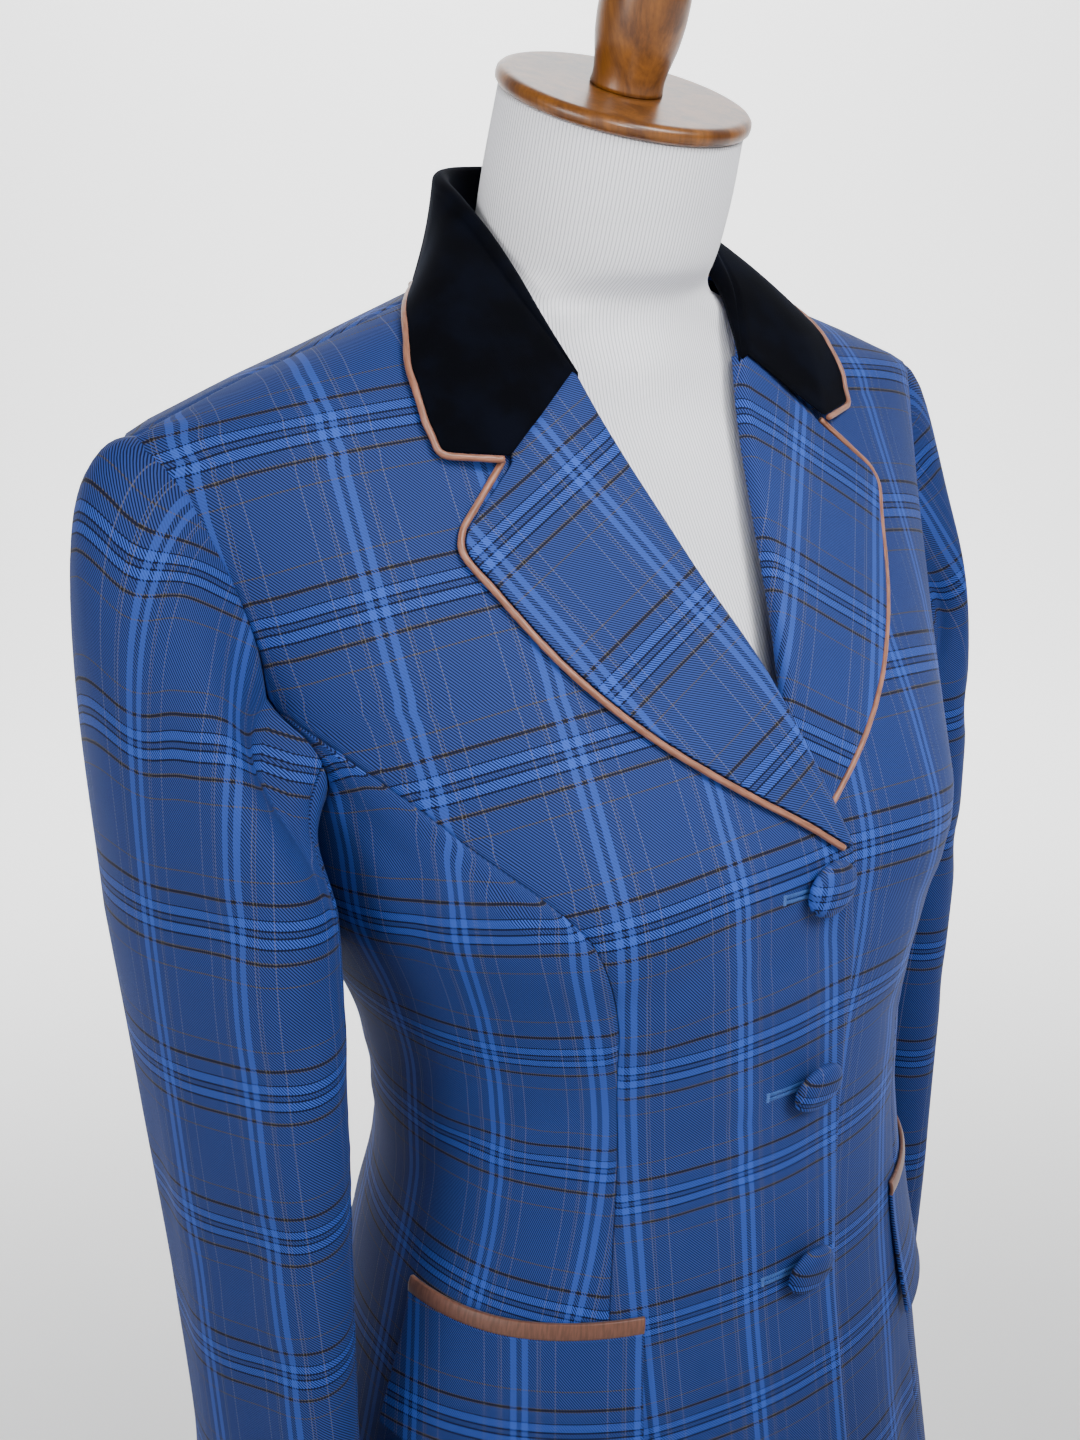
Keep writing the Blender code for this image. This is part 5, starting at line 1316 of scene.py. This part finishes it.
def cloth_material(check):
    """Worsted in the woven check."""
    material, tree, shader = new_material("checked worsted")
    woven = node_in(tree, "ShaderNodeGroup", {"Lay": flat_lay_of(tree)}, node_tree=check)
    bumped(tree, woven.outputs["Height"], 0.30, 0.00025, shader)
    feed(tree, shader, {
        "Base Color": woven.outputs["Color"], "Roughness": 0.72, "Specular IOR Level": 0.18,
        "Sheen Weight": 0.025, "Sheen Roughness": 0.45, "Sheen Tint": (0.55, 0.68, 1.0),
    })
    return material


def noise_at(tree, vector, scale, detail, stretch=(1.0, 1.0, 1.0), roughness=0.5, distortion=0.0):
    """A noise of that scale on a vector that is stretched first."""
    mapped = node_in(tree, "ShaderNodeMapping", {"Vector": vector, "Scale": stretch}).outputs[0]
    inputs = {"Scale": scale, "Detail": detail, "Roughness": roughness, "Distortion": distortion}
    return node_in(tree, "ShaderNodeTexNoise", {"Vector": mapped, **inputs}).outputs[0]


def eased(tree, value, low, high, ends=(0.0, 1.0)):
    """From the first of the ends to the second as the value goes from low to high, softly."""
    inputs = {"Value": value, "From Min": low, "From Max": high, "To Min": ends[0], "To Max": ends[1]}
    return node_in(tree, "ShaderNodeMapRange", inputs, interpolation_type="SMOOTHSTEP").outputs[0]


def two_colours(tree, factor, low, high, dark, light):
    """dark to light as the factor goes from low to high, and how far it has gone."""
    spread = eased(tree, factor, low, high)
    mixed = node_in(tree, "ShaderNodeMix", {"Factor": spread, 6: dark, 7: light}, data_type="RGBA")
    return mixed.outputs[2], spread


def velvet_material():
    """Black velvet whose pile catches the light at a slant, brushed a little unevenly."""
    material, tree, shader = new_material("black velvet")
    where = spot_of(tree)
    brushed = noise_at(tree, where, 55.0, 3.0)
    colour, _ = two_colours(tree, brushed, 0.38, 0.68, (0.0002, 0.0004, 0.0016), (0.0008, 0.0015, 0.0050))
    bumped(tree, noise_at(tree, where, 2400.0, 1.0), 0.25, 0.0003, shader)
    feed(tree, shader, {
        "Base Color": colour, "Roughness": 0.95, "Specular IOR Level": 0.08,
        "Sheen Weight": 0.055, "Sheen Roughness": 0.35, "Sheen Tint": (0.30, 0.40, 0.70),
    })
    return material


def satin_material(name, dark, light, roughness):
    """Satin on the bias: fine slanting yarns with a soft gloss."""
    material, tree, shader = new_material(name)
    lay = flat_lay_of(tree)
    streak = noise_at(tree, lay, 1.0, 3.0, (900.0, 120.0, 1.0))
    colour, _ = two_colours(tree, streak, 0.30, 0.70, dark, light)
    weave = node_in(tree, "ShaderNodeTexWave", {"Scale": 700.0, "Distortion": 0.6, "Vector": lay},
                    wave_type="BANDS", bands_direction="DIAGONAL")
    bumped(tree, weave.outputs["Fac"], 0.10, 0.00012, shader)
    looks = {"Roughness": roughness, "Specular IOR Level": 0.45, "Sheen Weight": 0.08}
    feed(tree, shader, {"Base Color": colour, **looks})
    return material


def cover_material():
    """The form's white cover, with fine upright ribs and painted shade in the grooves between them."""
    material, tree, shader = new_material("white ribbed cover, painted shade in grooves")
    across = node_in(tree, "ShaderNodeSeparateXYZ", {0: flat_lay_of(tree)}).outputs["X"]
    rib = sum_of(tree, "PINGPONG", sum_of(tree, "MULTIPLY", across, 1000.0 / RIB), 0.5)
    # The narrow grooves between the ribs are painted grey as shade; the ribs keep the cover's white.
    colour, mask = two_colours(tree, rib, 0.02, 0.20, (0.55, 0.55, 0.60), (0.93, 0.93, 0.97))
    mottled = noise_at(tree, spot_of(tree), 1600.0, 2.0)
    value = sum_of(tree, "ADD", 0.95, sum_of(tree, "MULTIPLY", mottled, 0.10))
    shade = node_in(tree, "ShaderNodeHueSaturation", {"Value": value, "Color": colour})
    bumped(tree, sum_of(tree, "ADD", mask, sum_of(tree, "MULTIPLY", mottled, 0.25)), 0.45, 0.0004, shader)
    looks = {"Roughness": 0.85, "Specular IOR Level": 0.20, "Sheen Weight": 0.05}
    feed(tree, shader, {"Base Color": shade.outputs[0], **looks})
    return material


def wood_material(name, grain, dark, light, roughness):
    """Stained and varnished turned wood."""
    material, tree, shader = new_material(name)
    inputs = {"Vector": spot_of(tree), "Dark": dark, "Light": light}
    wood = node_in(tree, "ShaderNodeGroup", inputs, node_tree=grain)
    bumped(tree, wood.outputs["Mask"], 0.06, 0.0004, shader)
    looks = {"Specular IOR Level": 0.5, "Coat Weight": 0.35, "Coat Roughness": 0.22}
    feed(tree, shader, {"Base Color": wood.outputs["Color"], "Roughness": roughness, **looks})
    return material


def thread_material():
    """Light blue twisted buttonhole thread."""
    material, tree, shader = new_material("blue thread")
    twist = noise_at(tree, spot_of(tree), 2600.0, 1.0)
    colour, mask = two_colours(tree, twist, 0.35, 0.65, (0.012, 0.050, 0.210), (0.034, 0.122, 0.400))
    bumped(tree, mask, 0.2, 0.0001, shader)
    feed(tree, shader, {"Base Color": colour, "Roughness": 0.5, "Sheen Weight": 0.05})
    return material


# Floor, light and camera

def make_stage():
    """A pale floor that sweeps up behind and glows, a little near the form and more further off, and soft light
    from above and in front.
    """
    run = [(-FLOOR_NEAR, 0.0), (FLOOR_FAR, 0.0)]
    bends = np.linspace(0.1, math.pi / 2, 14)
    run += [(FLOOR_FAR + SWEEP * math.sin(a), SWEEP * (1 - math.cos(a))) for a in bends]
    run += [(FLOOR_FAR + SWEEP, FLOOR_TOP)]
    facing = math.radians(CAMERA_TURN)
    forward = np.array([-math.sin(facing), math.cos(facing)])
    right = np.array([math.cos(facing), math.sin(facing)])
    across = (-FLOOR_SIDE, 0.0, FLOOR_SIDE)
    points = np.array([(*(right * a + forward * b), c) for b, c in run for a in across])
    faces = quads_of(np.arange(len(points)).reshape(len(run), len(across)))
    mesh = bpy.data.meshes.new("studio_floor")
    mesh.from_pydata(points.tolist(), [], faces.tolist())
    material, tree, shader = new_material("pale floor with painted glow")
    on_floor = {0: spot_of(tree), 1: (1.0, 1.0, 0.0)}
    level = node_in(tree, "ShaderNodeVectorMath", on_floor, operation="MULTIPLY").outputs[0]
    far_off = node_in(tree, "ShaderNodeVectorMath", {0: level}, operation="LENGTH").outputs["Value"]
    # Painted light: the floor glows, faintly near the form and more strongly further off.
    feed(tree, shader, {
        "Base Color": (0.90, 0.90, 0.90), "Roughness": 0.9, "Emission Color": (1.0, 1.0, 1.0),
        "Emission Strength": eased(tree, far_off, 0.2, 1.8, (0.05, 0.70)),
    })
    link_mesh("studio_floor", mesh, material)
    backdrop = ("backdrop_light", (*(forward * 1.5), 2.8), (*(forward * 3.8), 1.2), 2.4, 190.0, 180.0)
    for name, spot, aim, size, power, spread in (*LIGHTS, backdrop):
        light = bpy.data.lights.new(name, "AREA")
        light.energy, light.size, light.spread = power, size, math.radians(spread)
        lamp = new_object(name, light)
        lamp.location = spot
        way = unit(np.array(aim) - np.array(spot))
        lamp.rotation_euler = (math.acos(-way[2]), 0.0, math.atan2(way[1], way[0]) - math.pi / 2)
    world = bpy.data.worlds.new("studio air")
    world.use_nodes = True
    feed(world.node_tree, world.node_tree.nodes["Background"], {"Color": (0.95, 0.97, 1.0), "Strength": 0.13})
    bpy.context.scene.world = world


def make_camera():
    """The photograph's view."""
    turn, rise, roll = (math.radians(v) for v in (CAMERA_TURN, CAMERA_RISE, CAMERA_ROLL))
    back = np.array([math.sin(turn) * math.cos(rise), -math.cos(turn) * math.cos(rise), math.sin(rise)])
    right = unit(np.cross(-back, UP))
    up = np.cross(right, -back)
    rolled_right = right * math.cos(roll) + up * math.sin(roll)
    rolled_up = up * math.cos(roll) - right * math.sin(roll)
    columns = (rolled_right, rolled_up, back, np.array(CAMERA_AIM) + back * CAMERA_FAR)
    lens = bpy.data.cameras.new("camera")
    lens.lens, lens.sensor_width, lens.sensor_fit = CAMERA_LENS, 36.0, "AUTO"
    lens.clip_start = 0.01
    camera = new_object("camera", lens)
    camera.matrix_world = Matrix([*np.stack(columns, 1).tolist(), [0.0, 0.0, 0.0, 1.0]])
    bpy.context.scene.camera = camera


def main():
    """Makes the camera, the stage and every piece."""
    make_camera()
    make_stage()
    grain = grain_group()
    cloth, velvet = cloth_material(check_group()), velvet_material()
    satin = satin_material("copper satin", (0.20, 0.078, 0.044), (0.34, 0.145, 0.088), 0.40)
    # The welt's satin is the piping's copper satin at half its colour: painted shade, not a browner satin.
    shaded_copper_satin = satin_material("copper satin painted darker for shade", (0.10, 0.040, 0.024), (0.165, 0.068, 0.042), 0.46)
    for side in SIDE_NAMES:
        make_front(side, cloth)
        make_side(side, cloth)
        make_back(side, cloth)
        make_sleeve(side, cloth)
        make_lapel(side, cloth, satin)
        make_pocket(side, cloth, shaded_copper_satin)
    make_collar(velvet, satin)
    make_buttons(cloth)
    make_buttonholes(thread_material())
    cap_wood = wood_material("walnut stain", grain, (0.070, 0.020, 0.002), (0.260, 0.092, 0.011), 0.40)
    stand_wood = wood_material("walnut stand", grain, (0.070, 0.025, 0.010), (0.190, 0.080, 0.032), 0.42)
    make_form(cover_material(), cap_wood, stand_wood)


main()
